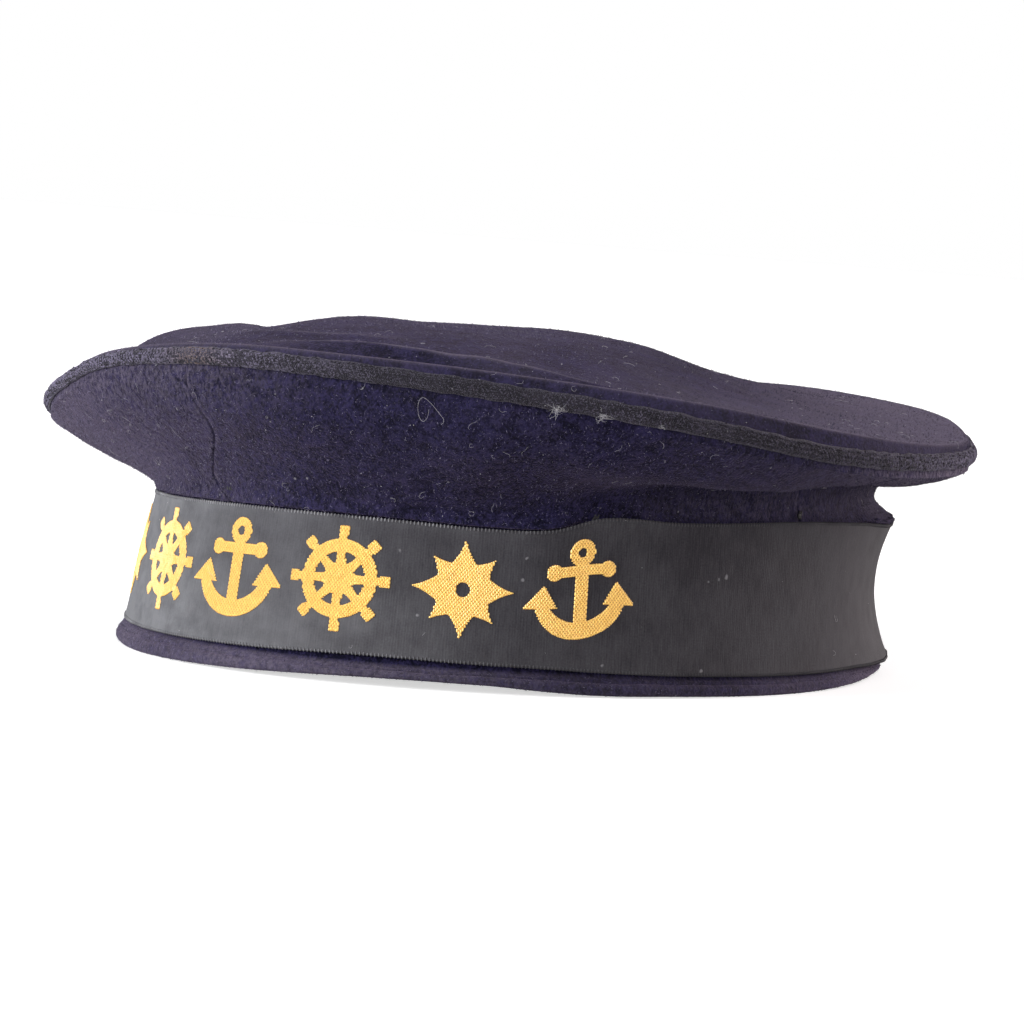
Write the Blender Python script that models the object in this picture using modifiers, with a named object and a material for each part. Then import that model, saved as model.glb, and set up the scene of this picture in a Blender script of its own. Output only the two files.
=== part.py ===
"""Sailor cap of navy wool cloth, resting on its headband.

The soft crown is a round top panel and four side quarters that meet at a rim covered with braid
tape. The crown has lost its stiffening: its rim dips at both sides, the top panel is pushed up in
a low dome, and on the wearer's left the quarters sag over their own neck. The quarters stand on an
oval headband with a rolled hem, and a plain dark ribbon goes round the band and laps at the back.

The front of the cap points along -Y, the wearer's left along +X, and the hem rests on Z = 0.
Sizes and tables are in millimetres and degrees. An angle is counted round the cap from the front
centre towards the wearer's left, a height from the surface the cap rests on, and a radius from the
upright line through the middle of the crown.
"""

import math
from collections import namedtuple

import bmesh
import bpy
from mathutils import Vector

MM = 0.001
CLOTH = 2.0
GAP = 0.3

# Headband: an oval wall that leans in and back as it rises, above a rolled hem.
BAND_HALF_LENGTH = 104.1
BAND_HALF_WIDTH = 84.4
BAND_CENTRE = (2.3, 1.7)
BAND_TOP_SHARE = 0.961
BAND_TOP_SHIFT = (2.2, 1.7)
BAND_WALL = 2.4
LEAN_HEIGHT = 38.0
HEM_STAND = 1.7
HEM_TO_WALL = 0.8
NECK_FOOT = 0.4
BAND_LEVELS = (0.0, 0.25, 0.5, 0.75, 1.0)

# Ribbon round the headband.
RIBBON_THICKNESS = 1.0
RIBBON_START = 178.0
RIBBON_LAP = 14.0
RIBBON_LAP_RISE = 8.0

# Crown rim: the tape hides the joint between the quarters and the top panel's turned-down lip, and
# the ridge is the top panel's edge above the tape.
RIM_RADIUS = 112.3
TAPE_THICKNESS = 1.5
LIP_RISE = 1.4
RIDGE_INSET = 2.6
LIP_ROUND = 0.8
LIP_LEVELS = (0.0, 0.5, 1.0)
RIM_TURN = 1.6
SEAM_GAP = 0.4
SEAM_ANGLES = (-3.0, 91.5, 180.0, 268.0)
QUARTERS = ("quarter_front_left", "quarter_back_left", "quarter_back_right", "quarter_front_right")

# Top panel: a dished base with a low dome on it.
TOP_MIDDLE_HEIGHT = 66.5
TOP_DISH_POWER = 2.2
TOP_EDGE_POWER = 8
DOME_CENTRE = (-15.0, -11.0)
DOME_HEIGHT = 12.0
DOME_HALF_LENGTH = 76.0
DOME_HALF_WIDTH = 66.0
DOME_TURN = 37.0
DOME_POWER = 4.0
TOP_INSETS = (0.0, 1.5, 3.5, 6.0, 9.0, 13.0, 19.0, 27.0, 38.0, 52.0, 70.0, 90.0)

RIM_STEPS = 64
BAND_STEPS = 56
RIBBON_STEPS = 70
QUARTER_STEPS = 16
SIDE_STEPS = 8

# The height of the rim at the tape's lower edge, and how far above it lie the tape's upper edge and
# the ridge.
RimRow = namedtuple("RimRow", "angle height tape ridge")
RIM = (
    RimRow(-150, 57.5, 4.0, 5.2),
    RimRow(-120, 52.5, 3.6, 4.8),
    RimRow(-90, 48.2, 3.2, 4.4),
    RimRow(-60, 48.5, 3.2, 4.2),
    RimRow(-35, 57.9, 3.0, 3.8),
    RimRow(-20, 64.9, 3.2, 4.1),
    RimRow(0, 68.4, 4.0, 5.0),
    RimRow(20, 67.8, 4.0, 5.6),
    RimRow(40, 65.1, 4.0, 6.4),
    RimRow(60, 60.7, 4.0, 7.2),
    RimRow(80, 55.4, 4.0, 7.4),
    RimRow(100, 53.9, 4.0, 6.0),
    RimRow(125, 54.6, 4.0, 5.4),
    RimRow(140, 57.6, 4.0, 5.4),
    RimRow(155, 59.3, 4.0, 5.4),
    RimRow(180, 60.6, 4.0, 5.4),
)

# The side of the crown: how far its neck stands out and rises from the headband's upper edge, then
# the radius and height of its belly, which sags lowest on the wearer's left.
SideRow = namedtuple("SideRow", "angle neck_out neck_rise belly_radius belly_height")
SIDE = (
    SideRow(-150, 2.0, 7.0, 103.0, 49.5),
    SideRow(-120, 4.5, 5.0, 100.0, 46.0),
    SideRow(-90, 6.8, 4.9, 101.4, 40.9),
    SideRow(-53, 5.0, 0.3, 97.5, 41.7),
    SideRow(-25, 6.0, 6.5, 106.0, 54.0),
    SideRow(0, 4.2, 8.5, 108.5, 58.0),
    SideRow(37, 5.5, 7.5, 106.0, 55.0),
    SideRow(60, 2.0, 10.0, 100.5, 49.5),
    SideRow(90, 0.6, 11.0, 98.0, 48.7),
    SideRow(127, 0.0, 10.6, 98.0, 48.0),
    SideRow(150, 0.6, 9.0, 102.0, 51.0),
    SideRow(180, 1.0, 8.0, 106.0, 53.5),
)

# The headband's height, how far it draws in at half its height, how far its hem stands out and
# lifts off the surface, and how tall the hem is; the ribbon's lower and upper edge, and how far
# each stands off the band.
BandRow = namedtuple("BandRow", "angle height waist hem_out hem_lift hem foot head foot_off head_off")
BAND = (
    BandRow(-150, 37.5, 0.5, 0.0, 0.0, 4.6, 6.0, 38.0, 0.0, 0.0),
    BandRow(-120, 36.8, 0.0, 0.0, 0.0, 4.6, 5.6, 37.0, 0.0, 0.0),
    BandRow(-90, 36.2, 0.0, 0.0, 0.0, 4.6, 5.4, 36.0, 0.0, 0.0),
    BandRow(-53, 35.9, 0.0, 0.3, 0.0, 4.6, 5.2, 35.4, 0.0, 0.0),
    BandRow(-20, 36.7, 0.0, 1.0, 0.0, 4.6, 5.4, 36.2, 0.0, 0.0),
    BandRow(0, 37.4, 0.0, 0.5, 0.6, 4.6, 5.9, 37.1, 0.0, 0.0),
    BandRow(20, 37.4, 0.0, 0.0, 1.9, 4.6, 6.8, 37.2, 0.0, 0.0),
    BandRow(36, 37.0, 0.0, 0.0, 1.8, 4.6, 6.4, 36.5, 0.2, 0.4),
    BandRow(44, 37.0, 0.0, 0.0, 1.0, 4.6, 6.2, 37.0, 0.3, 1.2),
    BandRow(52, 37.1, 0.0, 0.0, 0.4, 4.5, 5.7, 40.2, 0.3, 1.0),
    BandRow(65, 37.3, 0.0, 0.0, 0.3, 4.1, 5.1, 39.6, 0.2, 0.8),
    BandRow(90, 37.5, 0.3, 0.0, 0.0, 3.6, 4.5, 40.0, 0.2, 0.8),
    BandRow(110, 37.4, 1.4, 0.0, 0.5, 3.5, 4.4, 39.0, 0.8, 1.4),
    BandRow(127, 37.2, 3.0, -0.4, 1.2, 3.5, 4.4, 37.4, 3.4, 2.8),
    BandRow(150, 37.4, 2.0, 0.0, 0.0, 4.2, 5.4, 38.0, 1.6, 1.6),
    BandRow(180, 37.6, 0.8, 0.0, 0.0, 4.6, 6.0, 38.0, 0.0, 0.2),
)

# Folds of the top panel along the rim: the angles where each starts and ends, how far inside the
# ridge it lies at its ends and in its middle, its height (below zero for a crease) and its width.
FoldRow = namedtuple("FoldRow", "start end inset_ends inset_middle height width")
FOLDS = (
    FoldRow(0, 52, 5.0, 11.0, 3.6, 4.0),
    FoldRow(4, 54, 2.0, 4.5, -1.0, 2.4),
)

# Broad swellings and dents of the top panel.
DentRow = namedtuple("DentRow", "x y half_length half_width turn height")
DENTS = (
    DentRow(-32.0, -24.0, 16.0, 30.0, 37.0, 1.2),
    DentRow(-78.5, -44.0, 18.0, 26.0, 37.0, 8.2),
    DentRow(-46.0, -34.0, 7.0, 26.0, 37.0, -0.8),
    DentRow(35.0, 27.0, 12.0, 50.0, 37.0, -1.0),
)

# The hem's section: how far each point lies inside the oval outline, and its share of the hem's
# height. The first two points bound the flat that the cap rests on.
HemRow = namedtuple("HemRow", "inset level")
HEM = (
    HemRow(3.4, 0.0),
    HemRow(0.8, 0.0),
    HemRow(0.1, 0.15),
    HemRow(0.0, 0.41),
    HemRow(0.9, 0.74),
    HemRow(HEM_STAND, 1.0),
)

# The tape's section: how far each point lies inside the tape's outer face, and its place across the
# tape from the lower edge (0) to the upper edge (1).
TapeRow = namedtuple("TapeRow", "inset level")
TAPE = (
    TapeRow(TAPE_THICKNESS, 0.05),
    TapeRow(0.8, 0.0),
    TapeRow(0.2, 0.15),
    TapeRow(0.0, 0.5),
    TapeRow(0.2, 0.85),
    TapeRow(0.8, 1.0),
    TapeRow(TAPE_THICKNESS, 0.95),
)

MaterialRow = namedtuple("MaterialRow", "name colour roughness")
MATERIALS = (
    MaterialRow("navy_wool", (0.022, 0.019, 0.045), 0.95),
    MaterialRow("braid_tape", (0.030, 0.028, 0.034), 0.85),
    MaterialRow("ribbon_rep", (0.040, 0.040, 0.045), 0.60),
)


def around(rows, column, angle):
    """The column's value at an angle, on a smooth closed curve through the table's rows."""
    first = rows[0].angle
    angle = (angle - first) % 360 + first
    below = max(i for i, row in enumerate(rows) if row.angle <= angle)

    def knot(index):
        turns, index = divmod(index, len(rows))
        return rows[index].angle + 360 * turns, getattr(rows[index], column)

    (a0, v0), (a1, v1), (a2, v2), (a3, v3) = (knot(below + step) for step in (-1, 0, 1, 2))
    span = a2 - a1
    t = (angle - a1) / span
    rest = 1 - t
    leaving = (v2 - v0) / (a2 - a0) * span * t * rest**2
    arriving = (v3 - v1) / (a3 - a1) * span * rest * t**2
    return v1 * (1 + 2 * t) * rest**2 + v2 * (1 + 2 * rest) * t**2 + leaving - arriving


def curve_through(knots, steps):
    """Evenly stepped points on a smooth curve through some (radius, height) knots."""
    ends = [knots[0], *knots, knots[-1]]
    points = []
    for step in range(steps + 1):
        place = step / steps * (len(knots) - 1)
        i = min(int(place), len(knots) - 2)
        t = place - i
        before, start, end, after = (Vector(knot) for knot in ends[i : i + 4])
        bend = (2 * before - 5 * start + 4 * end - after) * t**2
        twist = (3 * start - before - 3 * end + after) * t**3
        points.append(tuple((2 * start + (end - before) * t + bend + twist) / 2))
    return points


def smooth_step(share):
    share = min(1.0, max(0.0, share))
    return share * share * (3 - 2 * share)


def swelling(along, across, half_length, half_width, power=2.0):
    """A smooth hump that is 1 in its middle and dies away past its half sizes."""
    return math.exp(-(math.hypot(along / half_length, across / half_width) ** power))


def turned(x, y, degrees):
    """A point's distances along and across a line that is turned from +X by some degrees."""
    turn = math.radians(degrees)
    return x * math.cos(turn) + y * math.sin(turn), y * math.cos(turn) - x * math.sin(turn)


def shift_towards(angle, shift):
    """How far a small (x, y) shift moves an outline outwards at an angle."""
    turn = math.radians(angle)
    return shift[0] * math.sin(turn) - shift[1] * math.cos(turn)


def point(angle, radius, height):
    """A point in metres from its angle, radius and height."""
    turn = math.radians(angle)
    return Vector((radius * math.sin(turn), -radius * math.cos(turn), height)) * MM


def oval_radius(angle):
    """The headband's oval outline at the hem, without the shift of its centre."""
    turn = math.radians(angle)
    return 1 / math.hypot(math.sin(turn) / BAND_HALF_WIDTH, math.cos(turn) / BAND_HALF_LENGTH)


def wall_radius(angle, height):
    """The outer face of the headband's wall, which leans to a smaller oval that sits further back."""
    oval = oval_radius(angle)
    foot = oval - HEM_STAND
    head = oval * BAND_TOP_SHARE - HEM_STAND + shift_towards(angle, BAND_TOP_SHIFT)
    share = height / LEAN_HEIGHT
    waist = around(BAND, "waist", angle) * math.sin(math.pi * min(1.0, share))
    return foot + (head - foot) * share - waist + shift_towards(angle, BAND_CENTRE)


def hem_outline(angle):
    """The hem's section at an angle, as (radius, height) points from inside its flat to the wall."""
    oval = oval_radius(angle) + shift_towards(angle, BAND_CENTRE)
    out, lift = around(BAND, "hem_out", angle), max(0.0, around(BAND, "hem_lift", angle))
    tall = around(BAND, "hem", angle)
    outline = []
    for row in HEM:
        share = 1 - row.level
        outline.append((oval + out * share - row.inset, tall * row.level + lift * share))
    return outline


def side_profile(angle):
    """A quarter's outer face at an angle: upright at the band's edge, out to the belly, up to the rim."""
    foot_height = around(BAND, "height", angle) + GAP
    foot_radius = wall_radius(angle, foot_height)
    lap_radius = RIM_RADIUS - TAPE_THICKNESS - GAP
    rim = around(RIM, "height", angle)
    neck_out, neck_rise = around(SIDE, "neck_out", angle), around(SIDE, "neck_rise", angle)
    knots = (
        (foot_radius, foot_height + NECK_FOOT),
        (foot_radius + neck_out, foot_height + neck_rise),
        (around(SIDE, "belly_radius", angle), around(SIDE, "belly_height", angle)),
        (lap_radius, rim - RIM_TURN),
    )
    foot, lap = (foot_radius, foot_height), (lap_radius, rim + LIP_RISE - SEAM_GAP)
    return [foot, *curve_through(knots, SIDE_STEPS), lap]


def top_height(angle, inset):
    """The top panel's height at an angle and a distance inside the ridge."""
    edge = RIM_RADIUS - RIDGE_INSET
    radius = max(0.0, edge - inset)
    share = radius / edge
    ridge = around(RIM, "height", angle) + around(RIM, "ridge", angle)
    x, y, _ = point(angle, radius, 0) / MM
    raised = 0.0
    along, across = turned(x - DOME_CENTRE[0], y - DOME_CENTRE[1], DOME_TURN)
    raised += DOME_HEIGHT * swelling(along, across, DOME_HALF_LENGTH, DOME_HALF_WIDTH, DOME_POWER)
    for dent in DENTS:
        along, across = turned(x - dent.x, y - dent.y, dent.turn)
        raised += dent.height * swelling(along, across, dent.half_length, dent.half_width)
    base = TOP_MIDDLE_HEIGHT + (ridge - TOP_MIDDLE_HEIGHT) * share**TOP_DISH_POWER
    folds = sum(fold_height(fold, angle, inset) for fold in FOLDS)
    return base + raised * (1 - share**TOP_EDGE_POWER) + folds


def fold_height(fold, angle, inset):
    """How far a fold along the rim raises the top panel; it fades out at its ends and at the ridge."""
    share = ((angle + 180) % 360 - 180 - fold.start) / (fold.end - fold.start)
    if not 0 < share < 1:
        return 0.0
    swing = math.sin(math.pi * share)
    middle = fold.inset_ends + (fold.inset_middle - fold.inset_ends) * swing
    return fold.height * swing * swelling(inset - middle, 0, fold.width, 1) * smooth_step(inset / 2)


def new_object(name, body, material, collection):
    """Makes a smooth-shaded object of a bmesh, with its material, in the cap's collection."""
    mesh = bpy.data.meshes.new(name)
    body.to_mesh(mesh)
    body.free()
    mesh.materials.append(bpy.data.materials[material])
    mesh.shade_smooth()
    mesh.set_sharp_from_angle(angle=math.radians(50))
    obj = bpy.data.objects.new(name, mesh)
    collection.objects.link(obj)
    return obj


def skin(body, rows, ring):
    """Joins rows of vertices with four-sided faces; a ring also joins each row's end to its start."""
    for low, high in zip(rows, rows[1:]):
        for i in range(len(low) - (not ring)):
            j = (i + 1) % len(low)
            body.faces.new((low[i], low[j], high[j], high[i]))


def add_cloth(obj, thickness, side):
    """Gives an open sheet its thickness, on its inner side (-1) or its outer side (1)."""
    cloth = obj.modifiers.new("Cloth", "SOLIDIFY")
    cloth.thickness = thickness * MM
    cloth.offset = side


def loop_body(sections):
    """A closed ring-shaped body through closed sections, each a list of points."""
    body = bmesh.new()
    rows = [[body.verts.new(p) for p in section] for section in sections]
    skin(body, rows + rows[:1], ring=True)
    bmesh.ops.recalc_face_normals(body, faces=body.faces)
    return body


def build_headband(collection):
    """The headband: a closed section of hem and wall, carried once round the oval."""
    sections = []
    for step in range(BAND_STEPS):
        angle = 360 * step / BAND_STEPS
        hem = hem_outline(angle)
        low, high = around(BAND, "hem", angle) + HEM_TO_WALL, around(BAND, "height", angle)
        heights = [low + (high - low) * level for level in BAND_LEVELS]
        outer = [(wall_radius(angle, height), height) for height in heights]
        inner = [(radius - BAND_WALL, height) for radius, height in reversed(outer)]
        sections.append([point(angle, radius, height) for radius, height in hem + outer + inner])
    new_object("headband", loop_body(sections), "navy_wool", collection)


def ribbon_face(angle, lift):
    """The ribbon's inner face at an angle, from its lower to its upper edge."""
    foot, head = around(BAND, "foot", angle), around(BAND, "head", angle)
    face = []
    foot_off, head_off = around(BAND, "foot_off", angle), around(BAND, "head_off", angle)
    for level in BAND_LEVELS:
        height = foot + (head - foot) * level
        off = max(0.0, foot_off * (1 - level) ** 2 + head_off * level**2)
        face.append(point(angle, wall_radius(angle, height) + GAP + off + lift, height))
    return face


def build_ribbon(collection):
    """The ribbon goes once round the band from the back, and its end laps over its start."""
    radius = oval_radius(RIBBON_START)
    turn = 360 + math.degrees(RIBBON_LAP / radius)
    rise = math.degrees(RIBBON_LAP_RISE / radius)
    body = bmesh.new()
    columns = []
    for step in range(RIBBON_STEPS + 1):
        gone = turn * step / RIBBON_STEPS
        over = smooth_step((gone - 360 + rise) / rise) * (RIBBON_THICKNESS + GAP)
        columns.append([body.verts.new(p) for p in ribbon_face(RIBBON_START + gone, over)])
    skin(body, columns, ring=False)
    bmesh.ops.reverse_faces(body, faces=body.faces)
    ribbon = new_object("tally_ribbon", body, "ribbon_rep", collection)
    add_cloth(ribbon, RIBBON_THICKNESS, 1)


def build_quarters(collection):
    """The four side quarters of the crown, each from one seam to the next."""
    ends = SEAM_ANGLES[1:] + (SEAM_ANGLES[0] + 360,)
    half_gap = math.degrees(SEAM_GAP / 2 / RIM_RADIUS)
    for name, seam, next_seam in zip(QUARTERS, SEAM_ANGLES, ends):
        first, last = seam + half_gap, next_seam - half_gap
        body = bmesh.new()
        columns = []
        for step in range(QUARTER_STEPS + 1):
            angle = first + (last - first) * step / QUARTER_STEPS
            columns.append([body.verts.new(point(angle, *place)) for place in side_profile(angle)])
        skin(body, columns, ring=False)
        bmesh.ops.reverse_faces(body, faces=body.faces)
        add_cloth(new_object(name, body, "navy_wool", collection), CLOTH, -1)


def build_tape(collection):
    """The braid tape round the rim."""
    sections = []
    for step in range(RIM_STEPS):
        angle = 360 * step / RIM_STEPS
        low, width = around(RIM, "height", angle), around(RIM, "tape", angle)
        sections.append([point(angle, RIM_RADIUS - row.inset, low + width * row.level) for row in TAPE])
    new_object("edge_tape", loop_body(sections), "braid_tape", collection)


def build_top(collection):
    """The top panel: a lip turned down behind the tape, then rings of the panel in to its middle."""
    body = bmesh.new()
    angles = [360 * step / RIM_STEPS for step in range(RIM_STEPS)]
    lap_radius = RIM_RADIUS - TAPE_THICKNESS - GAP
    rings = []
    for level in LIP_LEVELS:
        ring = []
        for angle in angles:
            low, high = LIP_RISE, around(RIM, "ridge", angle) - LIP_ROUND
            height = around(RIM, "height", angle) + low + (high - low) * level
            ring.append(body.verts.new(point(angle, lap_radius, height)))
        rings.append(ring)
    for inset in TOP_INSETS:
        radius = RIM_RADIUS - RIDGE_INSET - inset
        rings.append([body.verts.new(point(angle, radius, top_height(angle, inset))) for angle in angles])
    skin(body, rings, ring=True)
    middle = body.verts.new(point(0, 0, top_height(0, RIM_RADIUS)))
    for i, corner in enumerate(rings[-1]):
        body.faces.new((corner, rings[-1][(i + 1) % RIM_STEPS], middle))
    add_cloth(new_object("crown_top", body, "navy_wool", collection), CLOTH, -1)


def build_materials():
    for row in MATERIALS:
        material = bpy.data.materials.new(row.name)
        material.use_nodes = True
        shader = material.node_tree.nodes["Principled BSDF"]
        shader.inputs["Base Color"].default_value = (*row.colour, 1)
        shader.inputs["Roughness"].default_value = row.roughness
        shader.inputs["Metallic"].default_value = 0


def main():
    for obj in list(bpy.data.objects):
        bpy.data.objects.remove(obj)
    cap = bpy.data.collections.new("sailor_cap")
    bpy.context.scene.collection.children.link(cap)
    build_materials()
    build_headband(cap)
    build_ribbon(cap)
    build_quarters(cap)
    build_tape(cap)
    build_top(cap)


if __name__ == "__main__":
    main()
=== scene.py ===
"""Dresses the sailor cap: napped wool crown and headband, braid round the rim, woven ribbon.

The front of the cap points along -Y, the wearer's left along +X, and the hem rests on Z = 0.
Sizes and tables are in millimetres and degrees unless a name says otherwise. An angle is counted
round the cap from the front centre towards the wearer's left, and a radius from the upright line
through the middle of the crown.
"""

import math
from collections import namedtuple

import bmesh
import bpy
import numpy as np
from mathutils import Matrix, Vector


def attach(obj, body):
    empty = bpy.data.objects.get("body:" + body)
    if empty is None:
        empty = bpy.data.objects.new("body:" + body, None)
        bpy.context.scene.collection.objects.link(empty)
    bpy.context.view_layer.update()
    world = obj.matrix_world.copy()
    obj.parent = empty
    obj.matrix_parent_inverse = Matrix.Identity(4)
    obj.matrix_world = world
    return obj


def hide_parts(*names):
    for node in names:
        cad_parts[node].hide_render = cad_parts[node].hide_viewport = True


bl_info = {
    "name": "Sailor cap",
    "version": (1, 0, 0),
    "blender": (4, 5, 0),
    "location": "View3D > Sidebar > Cap",
    "description": "Builds a napped wool sailor cap with a braided rim and a woven ribbon",
    "category": "Object",
}

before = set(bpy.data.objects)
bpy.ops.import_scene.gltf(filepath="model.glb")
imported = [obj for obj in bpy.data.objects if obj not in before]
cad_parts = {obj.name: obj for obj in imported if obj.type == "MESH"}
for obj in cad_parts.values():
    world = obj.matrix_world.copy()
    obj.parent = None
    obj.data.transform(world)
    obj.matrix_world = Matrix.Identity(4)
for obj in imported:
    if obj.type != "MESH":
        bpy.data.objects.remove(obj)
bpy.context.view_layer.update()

MM = 0.001
TURN = 2 * math.pi
CLOTH = 2.0
GAP = 0.3

# Headband.
BAND_HALF_LENGTH = 104.1
BAND_HALF_WIDTH = 84.4
BAND_CENTRE = (2.3, 1.7)
BAND_TOP_SHARE = 0.961
BAND_TOP_SHIFT = (2.2, 1.7)
BAND_WALL = 2.4
LEAN_HEIGHT = 38.0
HEM_STAND = 1.7
NECK_FOOT = 0.4
CORNER_ANGLE = -53.0
CORNER_PINCH = 1.2

# Ribbon.
RIBBON_THICKNESS = 1.0
RIBBON_CLOTH = 0.7
RIBBON_START = 178.0
RIBBON_LAP = 14.0
RIBBON_LAP_RISE = 8.0
RIBBON_END_ANGLE = 127.0
SELVEDGE_LIFT = 0.1

# Crown.
RIM_RADIUS = 112.3
TAPE_THICKNESS = 1.5
LIP_RISE = 1.4
RIDGE_INSET = 2.6
RIDGE_RADIUS = RIM_RADIUS - RIDGE_INSET
LAP_RADIUS = RIM_RADIUS - TAPE_THICKNESS - GAP
RIM_TURN = 1.6
STRIP_TOP = 1.5
LINING_TOP = 2.6
FOOT_CLOTH = 0.8
TAPE_EDGE = 0.15
SEAM_GAP = 0.4
SEAM_SHOWN = 0.08
SEAM_STEPS = (0.0, 0.1, 0.2, 0.32, 0.46, 0.65, 0.9, 1.25, 1.7)
SEAM_ANGLES = (-3.0, 91.5, 180.0, 268.0)
QUARTERS = ("front_left", "back_left", "back_right", "front_right")
TOP_MIDDLE_HEIGHT = 66.5
TOP_DISH_POWER = 2.2
TOP_EDGE_POWER = 8
DOME_CENTRE = (-15.0, -11.0)
DOME_HEIGHT = 12.0
DOME_HALF_LENGTH = 76.0
DOME_HALF_WIDTH = 66.0
DOME_TURN = 37.0
DOME_POWER = 4.0

# Yarns of the braid. Lengths are shares of its width, widths shares of its pitch, slants in degrees.
BRAID_ROWS = 8
BRAID_ROW_STEP = 0.118
BRAID_SLANT = 42.0
BRAID_SLANT_SPREAD = 18.0
BRAID_YARN_LENGTH = 0.095
BRAID_YARN_WIDTH = 0.40
BRAID_MIXED_SHARE = 0.28

# Half sizes of the loops, the gold threads, the nap's fibres, the lint and the stitches.
LOOP_WIDTH, LOOP_LENGTH, LOOP_HEIGHT = 0.2, 0.48, 0.22
GOLD_WIDTH_SHARE, GOLD_LENGTH_SHARE, GOLD_HEIGHT = 0.62, 1.2, 0.2
NAP_RADIUS = 0.075
NAP_SHORTEST = 0.35
LINT_LENGTHS = (1.0, 4.2)
LINT_RADII = (0.016, 0.030)
FLUFF_RADIUS = 0.026
CURL_RADIUS = 0.035
FLECK_SIZES = (0.03, 0.09)
STITCH_WIDTH, STITCH_LENGTH = 0.22, 0.8
STITCH_STEP = 0.24

# Columns of points round the cap.
TOP_COLUMNS = 480
BAND_COLUMNS = 420
TAPE_COLUMNS = 1100
RIBBON_COLUMNS = 640
QUARTER_COLUMNS = 150


def rows_of(columns, *rows):
    """A table whose rows have named columns."""
    row = namedtuple("Row", columns)
    return tuple(row(*values) for values in rows)


RIM = rows_of(
    "angle height tape ridge",
    (-150, 57.5, 4.0, 5.2),
    (-120, 52.5, 3.6, 4.8),
    (-90, 48.2, 3.2, 4.4),
    (-60, 48.5, 3.2, 4.2),
    (-35, 57.9, 3.0, 3.8),
    (-20, 64.9, 3.2, 4.1),
    (0, 68.4, 4.0, 5.0),
    (20, 67.8, 4.0, 5.6),
    (40, 65.1, 4.0, 6.4),
    (60, 60.7, 4.0, 7.2),
    (80, 55.4, 4.0, 7.4),
    (100, 53.9, 4.0, 6.0),
    (125, 54.6, 4.0, 5.4),
    (140, 57.6, 4.0, 5.4),
    (155, 59.3, 4.0, 5.4),
    (180, 60.6, 4.0, 5.4),
)

SIDE = rows_of(
    "angle neck_out neck_rise belly_radius belly_height",
    (-150, 2.0, 7.0, 103.0, 49.5),
    (-120, 4.5, 5.0, 100.0, 46.0),
    (-90, 6.8, 4.9, 101.4, 40.9),
    (-53, 5.0, 0.3, 97.5, 41.7),
    (-25, 6.0, 6.5, 106.0, 54.0),
    (0, 4.2, 8.5, 108.5, 58.0),
    (37, 5.5, 7.5, 106.0, 55.0),
    (60, 2.0, 10.0, 100.5, 49.5),
    (90, 0.6, 11.0, 98.0, 48.7),
    (127, 0.0, 10.6, 98.0, 48.0),
    (150, 0.6, 9.0, 102.0, 51.0),
    (180, 1.0, 8.0, 106.0, 53.5),
)

BAND = rows_of(
    "angle height waist hem_out hem_lift hem foot head foot_off head_off",
    (-150, 37.5, 0.5, 0.0, 0.0, 4.6, 6.0, 38.0, 0.0, 0.0),
    (-120, 36.8, 0.0, 0.0, 0.0, 4.6, 5.6, 37.0, 0.0, 0.0),
    (-90, 36.2, 0.0, 0.0, 0.0, 4.6, 5.4, 36.0, 0.0, 0.0),
    (-53, 35.9, 0.0, 0.3, 0.0, 4.6, 5.2, 35.4, 0.0, 0.0),
    (-20, 36.7, 0.0, 1.0, 0.0, 4.6, 5.4, 36.2, 0.0, 0.0),
    (0, 37.4, 0.0, 0.5, 0.6, 4.6, 5.9, 37.1, 0.0, 0.0),
    (20, 37.4, 0.0, 0.0, 1.9, 4.6, 6.8, 37.2, 0.0, 0.0),
    (36, 37.0, 0.0, 0.0, 1.8, 4.6, 6.4, 36.5, 0.2, 0.4),
    (44, 37.0, 0.0, 0.0, 1.0, 4.6, 6.2, 37.0, 0.3, 1.2),
    (52, 37.1, 0.0, 0.0, 0.4, 4.5, 5.7, 40.2, 0.3, 1.0),
    (65, 37.3, 0.0, 0.0, 0.3, 4.1, 5.1, 39.6, 0.2, 0.8),
    (90, 37.5, 0.3, 0.0, 0.0, 3.6, 4.5, 40.0, 0.2, 0.8),
    (110, 37.4, 1.4, 0.0, 0.5, 3.5, 4.4, 39.0, 0.8, 1.4),
    (127, 37.2, 3.0, -0.4, 1.2, 3.5, 4.4, 37.4, 3.4, 2.8),
    (150, 37.4, 2.0, 0.0, 0.0, 4.2, 5.4, 38.0, 1.6, 1.6),
    (180, 37.6, 0.8, 0.0, 0.0, 4.6, 6.0, 38.0, 0.0, 0.2),
)

FOLDS = rows_of(
    "start end inset_ends inset_middle height width",
    (0, 52, 5.0, 11.0, 3.6, 4.0),
    (4, 54, 2.0, 4.5, -1.0, 2.4),
)

# Sharp crests of folds on the top panel: where each starts and ends, how far inside the ridge, how far it
# bows inwards between, how high and wide it stands, and how pale a highlight is painted along its top.
CRESTS = rows_of(
    "start end inset_start inset_end bow rise width pale",
    (-8, 54, 6.0, 3.5, 5.0, 0.9, 1.0, 1.4),
    (-26, 14, 30.0, 50.0, 0.0, 0.7, 2.0, 0.5),
    (-20, 16, 16.0, 26.0, 4.0, -0.8, 4.0, 0.0),
)

DENTS = rows_of(
    "x y half_length half_width turn height",
    (-32.0, -24.0, 16.0, 30.0, 37.0, 1.2),
    (-78.5, -44.0, 18.0, 26.0, 37.0, 8.2),
    (-46.0, -34.0, 6.0, 26.0, 37.0, -1.3),
    (-57.0, -38.0, 9.0, 24.0, 37.0, 1.2),
    (35.0, 27.0, 12.0, 50.0, 37.0, -1.0),
)

# Where the quarters sink in at the neck and lower down the side: round the cap, and at which level from
# the headband (0) to the rim (1).
NECK_DENTS = rows_of(
    "angle width level tall depth",
    (127, 22, 0.16, 0.12, 3.2),
    (-55, 14, 0.0, 0.2, 1.2),
)
SIDE_DENTS = rows_of("angle width level tall depth", (102, 16, 0.62, 0.16, 1.2))

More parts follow.
